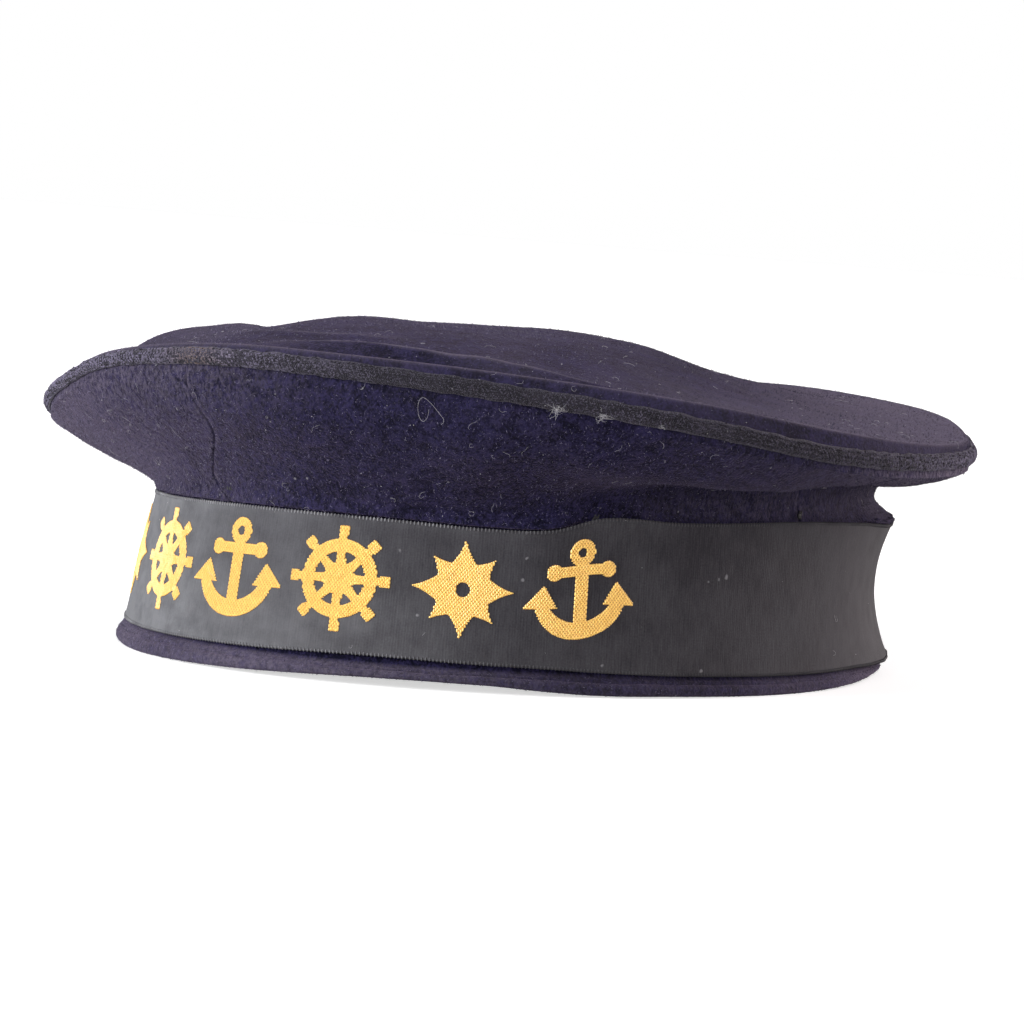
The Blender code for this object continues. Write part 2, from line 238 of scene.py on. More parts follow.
# Lines that are rubbed pale: how pale, at which level of the hem or of the ribbon, and how wide.
HEM_RUBS = rows_of("pale level width", (0.12, 0.62, 0.1), (0.08, 0.2, 0.12))
RIBBON_RUBS = rows_of("pale level width", (0.35, 0.0, 0.06), (0.6, 1.0, 0.06), (0.25, 0.15, 0.16))

# Small uneven waves in each cloth's shape or wear: how high, how long, and the seed of each.
WAVES = rows_of(
    "of height wavelength seed",
    ("top", 0.22, 26, 3),
    ("top", 0.08, 8, 4),
    ("top_wear", 0.25, 20, 5),
    ("side", 0.26, 30, 21),
    ("side", 0.11, 9, 22),
    ("hem_level", 0.10, 14, 31),
    ("hem_face", 0.10, 9, 32),
    ("ribbon", 0.10, 24, 41),
    ("ribbon", 0.05, 8, 42),
    ("ribbon_wear", 0.3, 30, 43),
    ("selvedge_tone", 0.2, 9, 44),
    ("tape", 0.07, 12, 51),
    ("tape_tone", 0.3, 5, 52),
    ("tape_level", 0.10, 4, 54),
    ("tape_width", 0.12, 5, 55),
)

# The front seam: how many degrees it strays at each level from the headband (0) to the rim (1).
FRONT_SEAM = rows_of(
    "level stray",
    (0.0, 0.0),
    (0.07, -0.8),
    (0.14, -2.7),
    (0.25, -3.0),
    (0.37, -1.7),
    (0.44, -0.4),
    (0.51, 0.8),
    (0.54, 1.0),
    (0.60, 0.8),
    (0.66, 0.35),
    (0.77, -0.8),
    (0.85, -1.2),
    (1.0, -1.5),
)

# The hem's section: how far each point lies inside the oval outline, and its share of the height.
HEM = rows_of(
    "inset level",
    (3.4, 0.0),
    (1.6, 0.0),
    (0.8, 0.02),
    (0.3, 0.10),
    (0.05, 0.22),
    (0.0, 0.39),
    (0.15, 0.56),
    (0.5, 0.67),
    (1.05, 0.72),
    (0.95, 0.83),
    (1.25, 0.93),
    (HEM_STAND, 1.0),
)

# Painted light and shade of each part round the cap, mixed with its fading and rubbing: the top panel, its
# turned-down strip, the braid's yarns, the sides, the ribbon, and the hem.
WEAR_AND_LIGHT = rows_of(
    "angle top strip tape side ribbon hem",
    (-150, 0.20, 0.30, 1.0, 0.25, 0.5, 0.45),
    (-100, 0.25, 0.32, 1.2, 0.35, 1.0, 0.55),
    (-60, 0.36, 0.36, 1.50, 0.60, 1.55, 0.60),
    (-45, 0.34, 0.38, 1.70, 0.57, 1.55, 0.52),
    (-25, 0.22, 0.85, 1.65, 0.44, 1.32, 0.76),
    (-12, 0.09, 0.42, 1.25, 0.33, 0.88, 0.48),
    (0, 0.08, 0.28, 1.28, 0.24, 0.58, 0.68),
    (12, 0.12, 0.20, 0.62, 0.07, 0.42, 0.60),
    (25, 0.06, 0.12, 0.26, 0.03, 0.30, 0.52),
    (37, 0.26, 0.10, 0.24, 0.02, 0.08, 0.40),
    (50, 0.00, 0.15, 0.38, 0.00, 0.04, 0.21),
    (62, 0.14, 0.18, 0.32, 0.06, 0.0, 0.23),
    (75, 0.26, 0.12, 0.36, 0.08, 0.0, 0.17),
    (88, 0.06, 0.16, 0.58, 0.30, 0.0, 0.40),
    (100, 0.00, 0.20, 0.95, 0.48, 0.0, 0.36),
    (118, 0.00, 0.06, 1.40, 0.85, 0.22, 0.80),
    (150, 0.10, 0.15, 1.10, 0.50, 0.30, 0.50),
)

# Lamps: how far each stands to the right of the camera and above the floor in degrees, how wide its
# light spreads, how bright it makes a white card that faces it, and its tint.
LAMPS = rows_of(
    "name beside above spread power tint",
    ("key", -66, 13, 36, 1.75, (0.96, 0.985, 1.0)),
    ("fill", 16, 4, 80, 1.0, (1.0, 0.95, 0.93)),
    ("rim", 118, 16, 30, 0.80, (1.0, 0.88, 0.87)),
    ("back", 190, 30, 60, 0.10, (1.0, 1.0, 1.0)),
)
LAMP_DISTANCE = 2.0
FLOOR_HALF = 6.0

# Camera.
VIEW_AZIMUTH = 37.0
VIEW_ELEVATION = 4.1
VIEW_ROLL = 3.95
VIEW_DISTANCE = 1.12
VIEW_LENS = 162.8
VIEW_RIGHT = 0.0018
VIEW_HEIGHT = 0.03405


# ---------------------------------------------------------------- sizes and colours that can change


def length_property(name, description, default):
    return bpy.props.FloatProperty(name=name, description=description, default=default, unit="LENGTH")


def count_property(name, description, default):
    return bpy.props.IntProperty(name=name, description=description, default=default, min=0)


def colour_property(name, description, default):
    return bpy.props.FloatVectorProperty(
        name=name, description=description, default=default, subtype="COLOR", size=3, min=0, max=1
    )


class CAP_PG_sizes(bpy.types.PropertyGroup):
    """Sizes of the cap's fine detail."""

    nap_length: length_property("Nap length", "Longest fibre that stands off the wool", 0.0008)
    nap_count: count_property("Nap fibres", "Fibres on the four quarters together", 42000)
    braid_pitch: length_property("Braid pitch", "Distance between the braid's slanting yarns", 0.00052)
    rib_pitch: length_property("Ribbon rib pitch", "Distance between the ribbon's fine ribs", 0.00062)
    loop_pitch: length_property("Selvedge pitch", "Distance between loops on the ribbon's edges", 0.00085)
    float_width: length_property("Gold thread width", "Width of one gold thread", 0.00039)
    float_length: length_property("Gold thread length", "Length shown before a thread dips", 0.00096)
    lint_count: count_property("Lint threads", "Stray pale threads on the cloth", 330)


class CAP_PG_colours(bpy.types.PropertyGroup):
    """Colours of the cap's finishes."""

    wool_dark: colour_property("Wool, dark", "Between the wool's fibres", (0.0015, 0.0015, 0.008))
    wool_light: colour_property("Wool, light", "Tips of the wool's fibres", (0.0175, 0.0148, 0.049))
    wool_flush: colour_property("Wool, flush", "Warmer patches of the wool", (0.025, 0.019, 0.038))
    # Also the colour of the light painted on the wool.
    wool_wear_and_light: colour_property("Wool, rubbed", "Rubbed edges of the wool", (0.119, 0.101, 0.138))
    wool_tips: colour_property("Wool, tips", "Palest fibres that stand off the wool", (0.170, 0.155, 0.235))
    braid_dark: colour_property("Braid, dark", "Darker yarns of the braid", (0.0045, 0.004, 0.0065))
    # Also the colour that the braid's painted light runs towards.
    braid_light: colour_property("Braid, light", "Paler yarns of the braid", (0.172, 0.152, 0.230))
    braid_worn: colour_property("Braid, worn", "Warm worn patch of the braid", (0.120, 0.086, 0.070))
    ribbon_dark: colour_property("Ribbon, dark", "Shaded cloth of the ribbon", (0.011, 0.0095, 0.014))
    # Also the colour of the light painted on the ribbon.
    ribbon_light: colour_property("Ribbon, light", "Dusty bloom on the ribbon", (0.132, 0.132, 0.142))
    selvedge: colour_property("Selvedge", "Loops along the ribbon's edges", (0.300, 0.300, 0.320))
    gold: colour_property("Gold thread", "Lit gold thread", (1.0, 0.71, 0.172))
    gold_shade: colour_property("Gold thread, shaded", "Darker gold thread", (0.55, 0.21, 0.012))
    lint: colour_property("Lint", "Stray pale threads", (0.46, 0.45, 0.48))
    lint_shade: colour_property("Lint, shaded", "Darker strands of the lint", (0.276, 0.270, 0.288))
    tack: colour_property("Tack thread", "Thread of the tacks", (0.012, 0.011, 0.014))
    tack_shade: colour_property("Tack thread, shaded", "Its darker strands", (0.003, 0.003, 0.004))
    floor: colour_property("Floor", "Floor and backdrop", (0.70, 0.70, 0.70))


# ---------------------------------------------------------------- curves and surfaces of the cap


def around(rows, columns, angle):
    """Each named column's value at each angle, on a smooth closed curve through the table's rows."""
    knots = np.array([row.angle for row in rows], float)
    angle = (np.asarray(angle, float) - knots[0]) % 360 + knots[0]
    below = np.searchsorted(knots, angle, side="right") - 1
    near = [np.divmod(below + step, len(rows)) for step in (-1, 0, 1, 2)]
    a0, a1, a2, a3 = (knots[index] + 360 * turns for turns, index in near)
    t = (angle - a1) / (a2 - a1)
    rest = 1 - t
    found = []
    for column in columns.split():
        values = np.array([getattr(row, column) for row in rows], float)
        v0, v1, v2, v3 = (values[index] for _, index in near)
        leaving = (v2 - v0) / (a2 - a0) * (a2 - a1) * t * rest**2
        arriving = (v3 - v1) / (a3 - a1) * (a2 - a1) * rest * t**2
        found.append(v1 * (1 + 2 * t) * rest**2 + v2 * (1 + 2 * rest) * t**2 + leaving - arriving)
    return found if len(found) > 1 else found[0]


def smooth_step(share):
    share = np.clip(share, 0, 1)
    return share * share * (3 - 2 * share)


def eased(value, start, end):
    """0 up to the start and 1 from the end on, smooth between; the start may be the higher one."""
    return smooth_step((value - start) / (end - start))


def span(value, start, full, last, end):
    """1 from full to last and 0 outside start and end, smooth between."""
    return eased(value, start, full) * eased(value, end, last)


def bell(distance, width, power=2.0):
    """A smooth hump that is 1 where the distance is 0 and dies away past the width."""
    return np.exp(-(np.abs(distance / width) ** power))


def ripple(points, wavelength, seed, waves=7):
    """A smooth wandering value of about -1 to 1 at each point in space."""
    rng = np.random.default_rng(seed)
    ways = rng.normal(size=(waves, 3))
    ways /= np.linalg.norm(ways, axis=1)[:, None]
    ways *= TURN / (wavelength * rng.uniform(0.6, 1.6, waves))[:, None]
    return np.sin(points @ ways.T + rng.uniform(0, TURN, waves)).sum(-1) / math.sqrt(waves)


def rubbed_at(lines, level):
    """How pale the rubbed lines of a table are at each level."""
    return sum(line.pale * bell(level - line.level, line.width) for line in lines)


def uneven(what, points):
    """The sum of the waves that the table gives for something, at each point."""
    return sum(row.height * ripple(points, row.wavelength, row.seed) for row in WAVES if row.of == what)


def signed(angle):
    """The same angle, counted from -180 to 180."""
    return (angle + 180) % 360 - 180


def angle_of(points):
    return np.degrees(np.arctan2(points[..., 0], -points[..., 1]))


def ring_angles(columns):
    """The angles of evenly spaced columns round the cap, one a row."""
    return (np.arange(columns) * 360 / columns)[:, None]


def turned(x, y, degrees):
    """Distances along and across a line that is turned from +X by some degrees."""
    turn = math.radians(degrees)
    return x * math.cos(turn) + y * math.sin(turn), y * math.cos(turn) - x * math.sin(turn)


def way_towards(azimuth, elevation):
    """The unit way to a place at an angle round the cap and a height over the floor, in degrees."""
    turn, rise = math.radians(azimuth), math.radians(elevation)
    return Vector((math.sin(turn) * math.cos(rise), -math.cos(turn) * math.cos(rise), math.sin(rise)))


def shift_towards(angle, shift):
    """How far a small (x, y) shift moves an outline outwards at an angle."""
    return shift[0] * np.sin(np.radians(angle)) - shift[1] * np.cos(np.radians(angle))


def at(angle, radius, height):
    """Points from their angles, radii and heights."""
    turn = np.radians(angle)
    return np.stack(np.broadcast_arrays(radius * np.sin(turn), -radius * np.cos(turn), height), -1)


def oval_radius(angle):
    turn = np.radians(angle)
    return 1 / np.hypot(np.sin(turn) / BAND_HALF_WIDTH, np.cos(turn) / BAND_HALF_LENGTH)


def wall_radius(angle, height):
    """The outer face of the headband's wall, which leans to a smaller oval that sits further back."""
    oval = oval_radius(angle)
    foot = oval - HEM_STAND
    head = oval * BAND_TOP_SHARE - HEM_STAND + shift_towards(angle, BAND_TOP_SHIFT)
    share = height / LEAN_HEIGHT
    waist = around(BAND, "waist", angle) * np.sin(math.pi * np.minimum(1.0, share))
    waist = waist + CORNER_PINCH * bell(signed(angle) - CORNER_ANGLE, 20) * eased(height, 18, 36)
    return foot + (head - foot) * share - waist + shift_towards(angle, BAND_CENTRE)


def fold_height(fold, angle, inset):
    """How far a fold along the rim raises the top panel."""
    share = np.clip((signed(angle) - fold.start) / (fold.end - fold.start), 0, 1)
    swing = np.sin(math.pi * share)
    middle = fold.inset_ends + (fold.inset_middle - fold.inset_ends) * swing
    return fold.height * swing * bell(inset - middle, fold.width) * eased(inset, 0, 2)


def top_height(angle, inset):
    """The top panel's height at each angle and distance inside the ridge."""
    radius = np.maximum(0.0, RIDGE_RADIUS - inset)
    share = radius / RIDGE_RADIUS
    ridge = sum(around(RIM, "height ridge", angle))
    x, y = radius * np.sin(np.radians(angle)), -radius * np.cos(np.radians(angle))
    along, across = turned(x - DOME_CENTRE[0], y - DOME_CENTRE[1], DOME_TURN)
    raised = DOME_HEIGHT * bell(np.hypot(along / DOME_HALF_LENGTH, across / DOME_HALF_WIDTH), 1, DOME_POWER)
    for dent in DENTS:
        along, across = turned(x - dent.x, y - dent.y, dent.turn)
        raised = raised + dent.height * bell(np.hypot(along / dent.half_length, across / dent.half_width), 1)
    base = TOP_MIDDLE_HEIGHT + (ridge - TOP_MIDDLE_HEIGHT) * share**TOP_DISH_POWER
    folds = sum(fold_height(fold, angle, inset) for fold in FOLDS)
    return base + raised * (1 - share**TOP_EDGE_POWER) + folds


def curve_through(knots, places):
    """Points on a smooth curve through knots (knot, column, 2), at places from 0 to 1."""
    ends = np.concatenate([knots[:1], knots, knots[-1:]])
    place = np.asarray(places) * (len(knots) - 1)
    i = np.minimum(place.astype(int), len(knots) - 2)
    t = (place - i)[:, None, None]
    before, start, end, after = (ends[i + step] for step in range(4))
    bend = (2 * before - 5 * start + 4 * end - after) * t**2
    twist = (3 * start - before - 3 * end + after) * t**3
    return ((2 * start + (end - before) * t + bend + twist) / 2).swapaxes(0, 1)


def side_profile(angles, places):
    """A quarter's outer face as (angle, place, radius and height), from the band's edge to the rim."""
    foot_height = around(BAND, "height", angles) + GAP
    foot_radius = wall_radius(angles, foot_height)
    lap_radius = np.full_like(foot_radius, LAP_RADIUS)
    rim = around(RIM, "height", angles)
    neck_out, neck_rise, *belly = around(SIDE, "neck_out neck_rise belly_radius belly_height", angles)
    foot, neck_low, neck_high, belly, turn_in, lap = (
        np.stack(pair, -1)
        for pair in (
            (foot_radius, foot_height),
            (foot_radius, foot_height + NECK_FOOT),
            (foot_radius + neck_out, foot_height + neck_rise),
            belly,
            (lap_radius, rim - RIM_TURN),
            (lap_radius, rim + LIP_RISE - SEAM_GAP),
        )
    )
    curve = curve_through(np.stack([neck_low, neck_high, belly, turn_in]), places)
    return np.concatenate([foot[:, None], curve, lap[:, None]], 1)


# ---------------------------------------------------------------- meshes


def unit(vectors):
    return vectors / np.maximum(np.linalg.norm(vectors, axis=-1, keepdims=True), 1e-9)


def normals_of(grid):
    """Unit normals of a grid of points, outwards for columns that run round the cap and rows that rise."""
    return unit(np.cross(np.gradient(grid, axis=0), np.gradient(grid, axis=1)))


def finish_piece(name, shape, material, slot, maps=None, **stored):
    """A smooth-shaded piece from its points in millimetres and its faces.

    Maps hold each face corner's place on the cloth. A stored value is kept at the points, one for each
    point or for each equal run of points.
    """
    points, faces = shape
    mesh = bpy.data.meshes.new(name)
    mesh.from_pydata((np.asarray(points) * MM).tolist(), [], faces)
    if maps is not None:
        layer = mesh.uv_layers.new(name="cloth")
        layer.data.foreach_set("uv", np.asarray(maps, np.float32).ravel())
    for label, values in stored.items():
        values = np.repeat(np.ravel(values), len(points) // np.size(values))
        mesh.attributes.new(label, "FLOAT", "POINT").data.foreach_set("value", values)
    body = bmesh.new()
    body.from_mesh(mesh)
    bmesh.ops.recalc_face_normals(body, faces=body.faces)
    body.to_mesh(mesh)
    body.free()
    mesh.shade_smooth()
    mesh.set_sharp_from_angle(angle=math.radians(60))
    mesh.materials.append(material)
    piece = bpy.data.objects.new(name, mesh)
    bpy.context.scene.collection.objects.link(piece)
    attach(piece, "root")
    return piece


def sweep_faces(columns, points, ring):
    """Four-sided faces of a closed section of some points that is carried through some columns."""
    c, p = np.meshgrid(np.arange(columns if ring else columns - 1), np.arange(points), indexing="ij")
    after, beside = (c + 1) % columns, (p + 1) % points
    corners = [c * points + p, after * points + p, after * points + beside, c * points + beside]
    return np.stack(corners, -1).reshape(-1, 4), (c.ravel(), p.ravel())


def cap_faces(points, first):
    """Faces across an end of a closed section; its points 0 and half way lie on its two edges."""
    half = points // 2
    faces = [(first, first + 1, first + points - 1)]
    for i in range(1, half - 1):
        faces.append((first + i, first + i + 1, first + points - i - 1, first + points - i))
    faces.append((first + half - 1, first + half, first + half + 1))
    return faces


def sweep(name, grid, material, slot, ring, along=None, across=None, **stored):
    """A closed piece from closed sections (column, point, 3); along and across map the cloth."""
    columns, points = grid.shape[:2]
    faces, (c, p) = sweep_faces(columns, points, ring)
    faces = faces.tolist()
    maps = None
    if along is not None:
        after, beside = (c + 1) % columns, (p + 1) % points
        corner = [(c, c, p), (c + 1, after, p), (c + 1, after, beside), (c, c, beside)]
        maps = np.stack([np.stack([along[a], across[b, q]], -1) for a, b, q in corner], 1).reshape(-1, 2)
    if not ring:
        ends = cap_faces(points, 0) + cap_faces(points, (columns - 1) * points)
        faces += ends
        if maps is not None:
            maps = np.concatenate([maps, np.zeros((sum(map(len, ends)), 2))])
    return finish_piece(name, (grid.reshape(-1, 3), faces), material, slot, maps, **stored)


def thick_section(outer, thickness, roll=0.5):
    """A closed section (column, point, 3) of a cloth from its outer face, with softly rounded edges."""
    inner = outer - normals_of(outer) * thickness
    middle_low, middle_high = ((outer[:, end] + inner[:, end])[:, None] / 2 for end in (0, -1))

    def trimmed(face):
        face = face.copy()
        for end, beside in ((0, 1), (-1, -2)):
            step = face[:, beside] - face[:, end]
            length = np.linalg.norm(step, axis=-1, keepdims=True)
            face[:, end] += step * np.minimum(roll / np.maximum(length, 1e-6), 0.7)
        return face

    return np.concatenate([middle_low, trimmed(outer), middle_high, trimmed(inner)[:, ::-1]], 1)


def bead_shape(sides, rings):
    """Points and faces of a blunt closed bead, 2 long on Y, 2 wide on X and 2 tall on Z."""
    places = np.linspace(-1, 1, rings + 2)[1:-1]
    girth = np.sqrt(1 - places**4)
    turn = TURN * np.arange(sides) / sides
    body = [(g * math.cos(t), y, g * math.sin(t)) for y, g in zip(places, girth) for t in turn]
    points = np.array([(0, -1, 0), *body, (0, 1, 0)])
    faces = []
    for s in range(sides):
        n = (s + 1) % sides
        faces.append((0, 1 + s, 1 + n))
        for r in range(rings - 1):
            low, high = 1 + r * sides, 1 + (r + 1) * sides
            faces.append((low + s, high + s, high + n, low + n))
        last = 1 + (rings - 1) * sides
        faces.append((len(points) - 1, last + n, last + s))
    return points, faces


def spike_shape():
    """A tapering fibre, 1 long on Y, on a small three-sided foot."""
    turn = TURN * np.arange(3) / 3
    points = np.array([*[(math.cos(t), 0, math.sin(t)) for t in turn], (0, 1, 0)])
    return points, [(0, 1, 3), (1, 2, 3), (2, 0, 3), (0, 2, 1)]


def tube(path, radius, sides=3):
    """Points and faces of a closed thread along a path."""
    ahead = unit(np.gradient(path, axis=0))
    side = unit(np.cross(ahead, (0.3, 0.2, 0.93)))
    other = np.cross(side, ahead)
    turn = TURN * np.arange(sides) / sides
    ring = side[:, None] * np.cos(turn)[None, :, None] + other[:, None] * np.sin(turn)[None, :, None]
    taper = np.sqrt(np.clip(1 - np.linspace(-1, 1, len(path)) ** 8, 0.08, 1))[:, None, None]
    points = (path[:, None] + ring * radius * taper).reshape(-1, 3)
    faces = []
    for i in range(0, len(points) - sides, sides):
        for s in range(sides):
            n = (s + 1) % sides
            faces.append((i + s, i + n, i + sides + n, i + sides + s))
    faces.append(tuple(range(sides))[::-1])
    faces.append(tuple(range(len(points) - sides, len(points))))
    return points, faces


def join_shapes(shapes):
    """One list of points and faces from many."""
    points, faces, count = [], [], 0
    for some, theirs in shapes:
        faces += [tuple(v + count for v in face) for face in theirs]
        points.append(some)
        count += len(some)
    return np.concatenate(points), faces


def spread(shape, centres, frames):
    """Points and faces of many copies of a shape, each with its own centre and 3 by 3 frame."""
    points, faces = shape
    placed = np.einsum("pk,nkj->npj", points, frames) + centres[:, None]
    return join_shapes((copy, faces) for copy in placed)


def sample(grid, count, rng):
    """Random points spread evenly over a grid of points, with their normals and upward ways."""
    normals = normals_of(grid)
    a, b, c, d = grid[:-1, :-1], grid[1:, :-1], grid[1:, 1:], grid[:-1, 1:]
    halves = (np.linalg.norm(np.cross(b - corner, d - corner), axis=-1) for corner in (a, c))
    areas = sum(halves).ravel()
    chosen = np.searchsorted(np.cumsum(areas) / areas.sum(), rng.random(count))
    i, j = np.divmod(np.minimum(chosen, len(areas) - 1), grid.shape[1] - 1)
    s, t = rng.random((2, count, 1))

    def blended(values):
        low = values[i, j] * (1 - s) + values[i + 1, j] * s
        high = values[i, j + 1] * (1 - s) + values[i + 1, j + 1] * s
        return low * (1 - t) + high * t

    return blended(grid), unit(blended(normals)), unit(grid[i, j + 1] - grid[i, j])


def laid_on(face, along, across):
    """Places on a face, with the unit ways up, ahead and out of the cloth there."""
    here = face(along, across)
    up = unit(face(along, across + 0.02) - here)
    ahead = unit(face(along + 0.05, across) - here)
    return here, up, ahead, unit(np.cross(ahead, up))


# ---------------------------------------------------------------- skins of the cloth pieces

# The roll over the ridge: how far inside the strip each point lies, and how far below the ridge.
TOP_ROLL = ((0.0, 1.0), (0.1, 0.6), (0.35, 0.25), (0.75, 0.05), (1.3, 0.0))
PANEL_INSETS = (*np.arange(0.8, 18, 0.4), *np.arange(18, 52, 1.0), *np.arange(52, 108, 2.5))
LINING_INSETS = (3.2, 4.5, 6, 8, 11, 15, 20, 27, 36, 48, 62, 78, 94)


def top_skin():
    """The top panel's outer face (column, place, 3), from the turned-down strip's foot in to the middle.

    It comes with the number of places on the strip and its roll, and how pale the highlight painted along the
    crests is.
    """
    a = ring_angles(TOP_COLUMNS)
    rim, ridge = around(RIM, "height ridge", a)
    levels = np.linspace(0, 1, 7)[None]
    low, high = rim + LIP_RISE, rim + ridge - STRIP_TOP
    bulge = 0.25 * np.sin(math.pi * levels) * eased(ridge, 4, 6)
    strip = at(a, LAP_RADIUS + bulge, low + (high - low) * levels)
    edge = np.concatenate([at(a, LAP_RADIUS - inset, rim + ridge - drop) for inset, drop in TOP_ROLL], 1)
    insets = np.array(PANEL_INSETS)[None]
    skin = np.concatenate([strip, edge, at(a, RIDGE_RADIUS - insets, top_height(a, insets))], 1)
    count = strip.shape[1] + edge.shape[1]
    skin[..., 2] += eased(np.arange(skin.shape[1]), count - 2, count + 6) * uneven("top", skin)
    crest_highlight = np.zeros(skin.shape[:2])
    front = signed(a)
    for line in CRESTS:
        share = np.clip((front - line.start) / (line.end - line.start), 0, 1)
        swing = np.sin(math.pi * share)
        inset = line.inset_start + (line.inset_end - line.inset_start) * share + line.bow * swing
        inset = inset + 0.35 * np.sin(0.33 * front + line.width) + 0.2 * np.sin(0.81 * front)
        skin[:, count:, 2] += line.rise * swing**0.7 * bell(insets - inset, line.width, 1.3)
        # A painted highlight along the top of each crest.
        crest_highlight[:, count:] += line.pale * swing**0.7 * bell(insets - inset - 0.25, 0.5 * line.width)
    return skin, count, crest_highlight


def seam_angle(index, level):
    """The angle of a seam at each level from the headband (0) to the rim (1); the front seam sways most."""
    turns, index = divmod(index, len(SEAM_ANGLES))
    if index == 0:
        sway = np.interp(level, *zip(*FRONT_SEAM))
    else:
        sway = 0.35 * np.sin(5 * level + index)
    return SEAM_ANGLES[index] + 360 * turns + sway


def dent_depth(dents, turn, level):
    return sum(d.depth * bell(turn - d.angle, d.width) * bell(level - d.level, d.tall) for d in dents)


def quarter_skin(index, rows=46):
    """A quarter's outer face (column, place, 3), its levels, and how far each point is from a seam."""
    level = np.linspace(0, 1, rows + 2)[None]
    edge = math.degrees(SEAM_SHOWN / 2 / RIM_RADIUS)
    first, last = seam_angle(index, level) + edge, seam_angle(index + 1, level) - edge
    near = np.degrees(np.array(SEAM_STEPS) / RIM_RADIUS)[:, None]
    margin = near[-1] * 1.3
    middle = first + margin + (last - first - 2 * margin) * np.linspace(0, 1, QUARTER_COLUMNS)[:, None]
    angle = np.concatenate([first + near, middle, last - near[::-1]])
    fine = np.arange(angle.min() - 1, angle.max() + 1, 0.25)
    profile = side_profile(fine, np.linspace(0, 1, rows))
    radius, height = (
        np.stack([np.interp(angle[:, j], fine, profile[:, j, k]) for j in range(rows + 2)], 1) for k in (0, 1)
    )
    to_seam = np.radians(np.minimum(angle - first, last - angle)) * radius
    # The foot hugs the ribbon's upper edge, except where the ribbon stands up in front of it.
    turn = signed(angle)
    snug = (1 - span(turn, 44, 50, 112, 120)) * span(turn, -48, -34, 136, 150)
    head, head_off = around(BAND, "head head_off", angle)
    ledge = wall_radius(angle, head) + GAP + RIBBON_THICKNESS + np.maximum(0.0, head_off)
    foot = height[:, :1]
    height = height - np.maximum(0.0, foot - head - 0.12) * snug * bell(height - foot, 1.5)
    above = height - head
    hug = snug * eased(above, -0.1, 0.3) * bell(above, 3.6)
    radius = radius + np.maximum(0.0, ledge + 0.25 - radius) * hug - dent_depth(NECK_DENTS, turn, level)
    skin = at(angle, radius, height)
    seam = (0.06 * bell(to_seam - 1.2, 0.8) - 0.25 * bell(to_seam, 0.25)) * eased(level, 1, 0.95)
    free = span(level, 0, 0.12, 0.92, 1) * uneven("side", skin)
    push = seam + free - dent_depth(SIDE_DENTS, turn, level)
    return skin + normals_of(skin) * push[..., None], level, to_seam


def band_skin():
    """The headband's outer face (column, place, 3), from the hem's flat up to the band's edge."""
    a = ring_angles(BAND_COLUMNS)
    inset, level = (np.array(values)[None] for values in zip(*HEM))
    tall, hem_out, lift, high = around(BAND, "hem hem_out hem_lift height", a)
    height, share = tall * level, 1 - level
    radius = oval_radius(a) + shift_towards(a, BAND_CENTRE) + hem_out * share - inset
    hem = at(a, radius, height + np.maximum(0.0, lift) * share)
    soft = span(height, 0, 1, tall - 1, tall)
    hem[..., 2] += soft * uneven("hem_level", hem)
    hem += normals_of(hem) * (soft * uneven("hem_face", hem))[..., None]
    low = tall + 0.8
    heights = low + (high - low) * np.linspace(0, 1, 9)[None]
    return np.concatenate([hem, at(a, wall_radius(a, heights), heights)], 1)


def ribbon_points(gone, level, lift):
    """Points of the ribbon's outer face, at degrees gone from its start and levels up from its lower edge."""
    angle = RIBBON_START + gone
    foot, head, foot_off, head_off = around(BAND, "foot head foot_off head_off", angle)
    height = foot + (head - foot) * level
    off = foot_off * (1 - level) ** 2 + head_off * level**2
    rise = math.degrees(RIBBON_LAP_RISE / float(oval_radius(RIBBON_START)))
    over = eased(gone, 360 - rise, 360) * (RIBBON_THICKNESS + GAP)
    snug = bell(signed(angle) - RIBBON_END_ANGLE, 22) * (0.5 + 0.8 * level)
    radius = wall_radius(angle, height) + GAP + RIBBON_THICKNESS + np.maximum(0.0, off - snug) + over
    points = at(angle, radius, height)
    return points + at(angle, 1.0, 0.0) * (uneven("ribbon", points) + lift)[..., None]


def ribbon_length():
    """(degrees gone from the ribbon's start, millimetres along it)."""
    turn = 360 + math.degrees(RIBBON_LAP / float(oval_radius(RIBBON_START)))
    gone = np.linspace(0, turn, 1400)
    steps = np.linalg.norm(np.diff(ribbon_points(gone, 0.5, 0.0), axis=0), axis=1)
    return gone, np.concatenate([[0], np.cumsum(steps)])


def ribbon_skin(rows=26):
    """The ribbon's outer face (column, place, 3) and the millimetres along it."""
    gone_at, along_at = ribbon_length()
    along = np.linspace(0, along_at[-1], RIBBON_COLUMNS)
    gone = np.interp(along, along_at, gone_at)
    level = np.linspace(0, 1, rows)[None]
    curl = 0.18 * (bell(level, 0.03) + bell(1 - level, 0.03))
    return along, ribbon_points(gone[:, None], level, curl)


def tape_face(angle, across):
    """The braid's face, at places across it from its lower (-1) to its upper edge (1)."""
    low, width = around(RIM, "height tape", angle)
    line = at(angle, RIM_RADIUS, low)
    low, width = low + uneven("tape_level", line), width + uneven("tape_width", line)
    bulge = (TAPE_THICKNESS - TAPE_EDGE) * (1 - np.abs(across) ** 2.2) ** 0.7
    face = at(angle, RIM_RADIUS - TAPE_THICKNESS + bulge, low + width * (across + 1) / 2)
    return face + uneven("tape", face)[..., None] * at(angle, 1.0, 0.0)


# ---------------------------------------------------------------- shader nodes


def add_node(tree, kind, inputs=None, **settings):
    """A new node with its settings; each input is a plain value or a Value."""
    made = tree.nodes.new(kind)
    for key, value in settings.items():
        setattr(made, key, value)
    for key, value in (inputs or {}).items():
        if isinstance(value, Value):
            value.feed(made.inputs[key])
        else:
            made.inputs[key].default_value = value
    return made


def source(tree, kind, output, inputs=None, **settings):
    """One output of a new node."""
    return Value(tree, add_node(tree, kind, inputs, **settings).outputs[output])


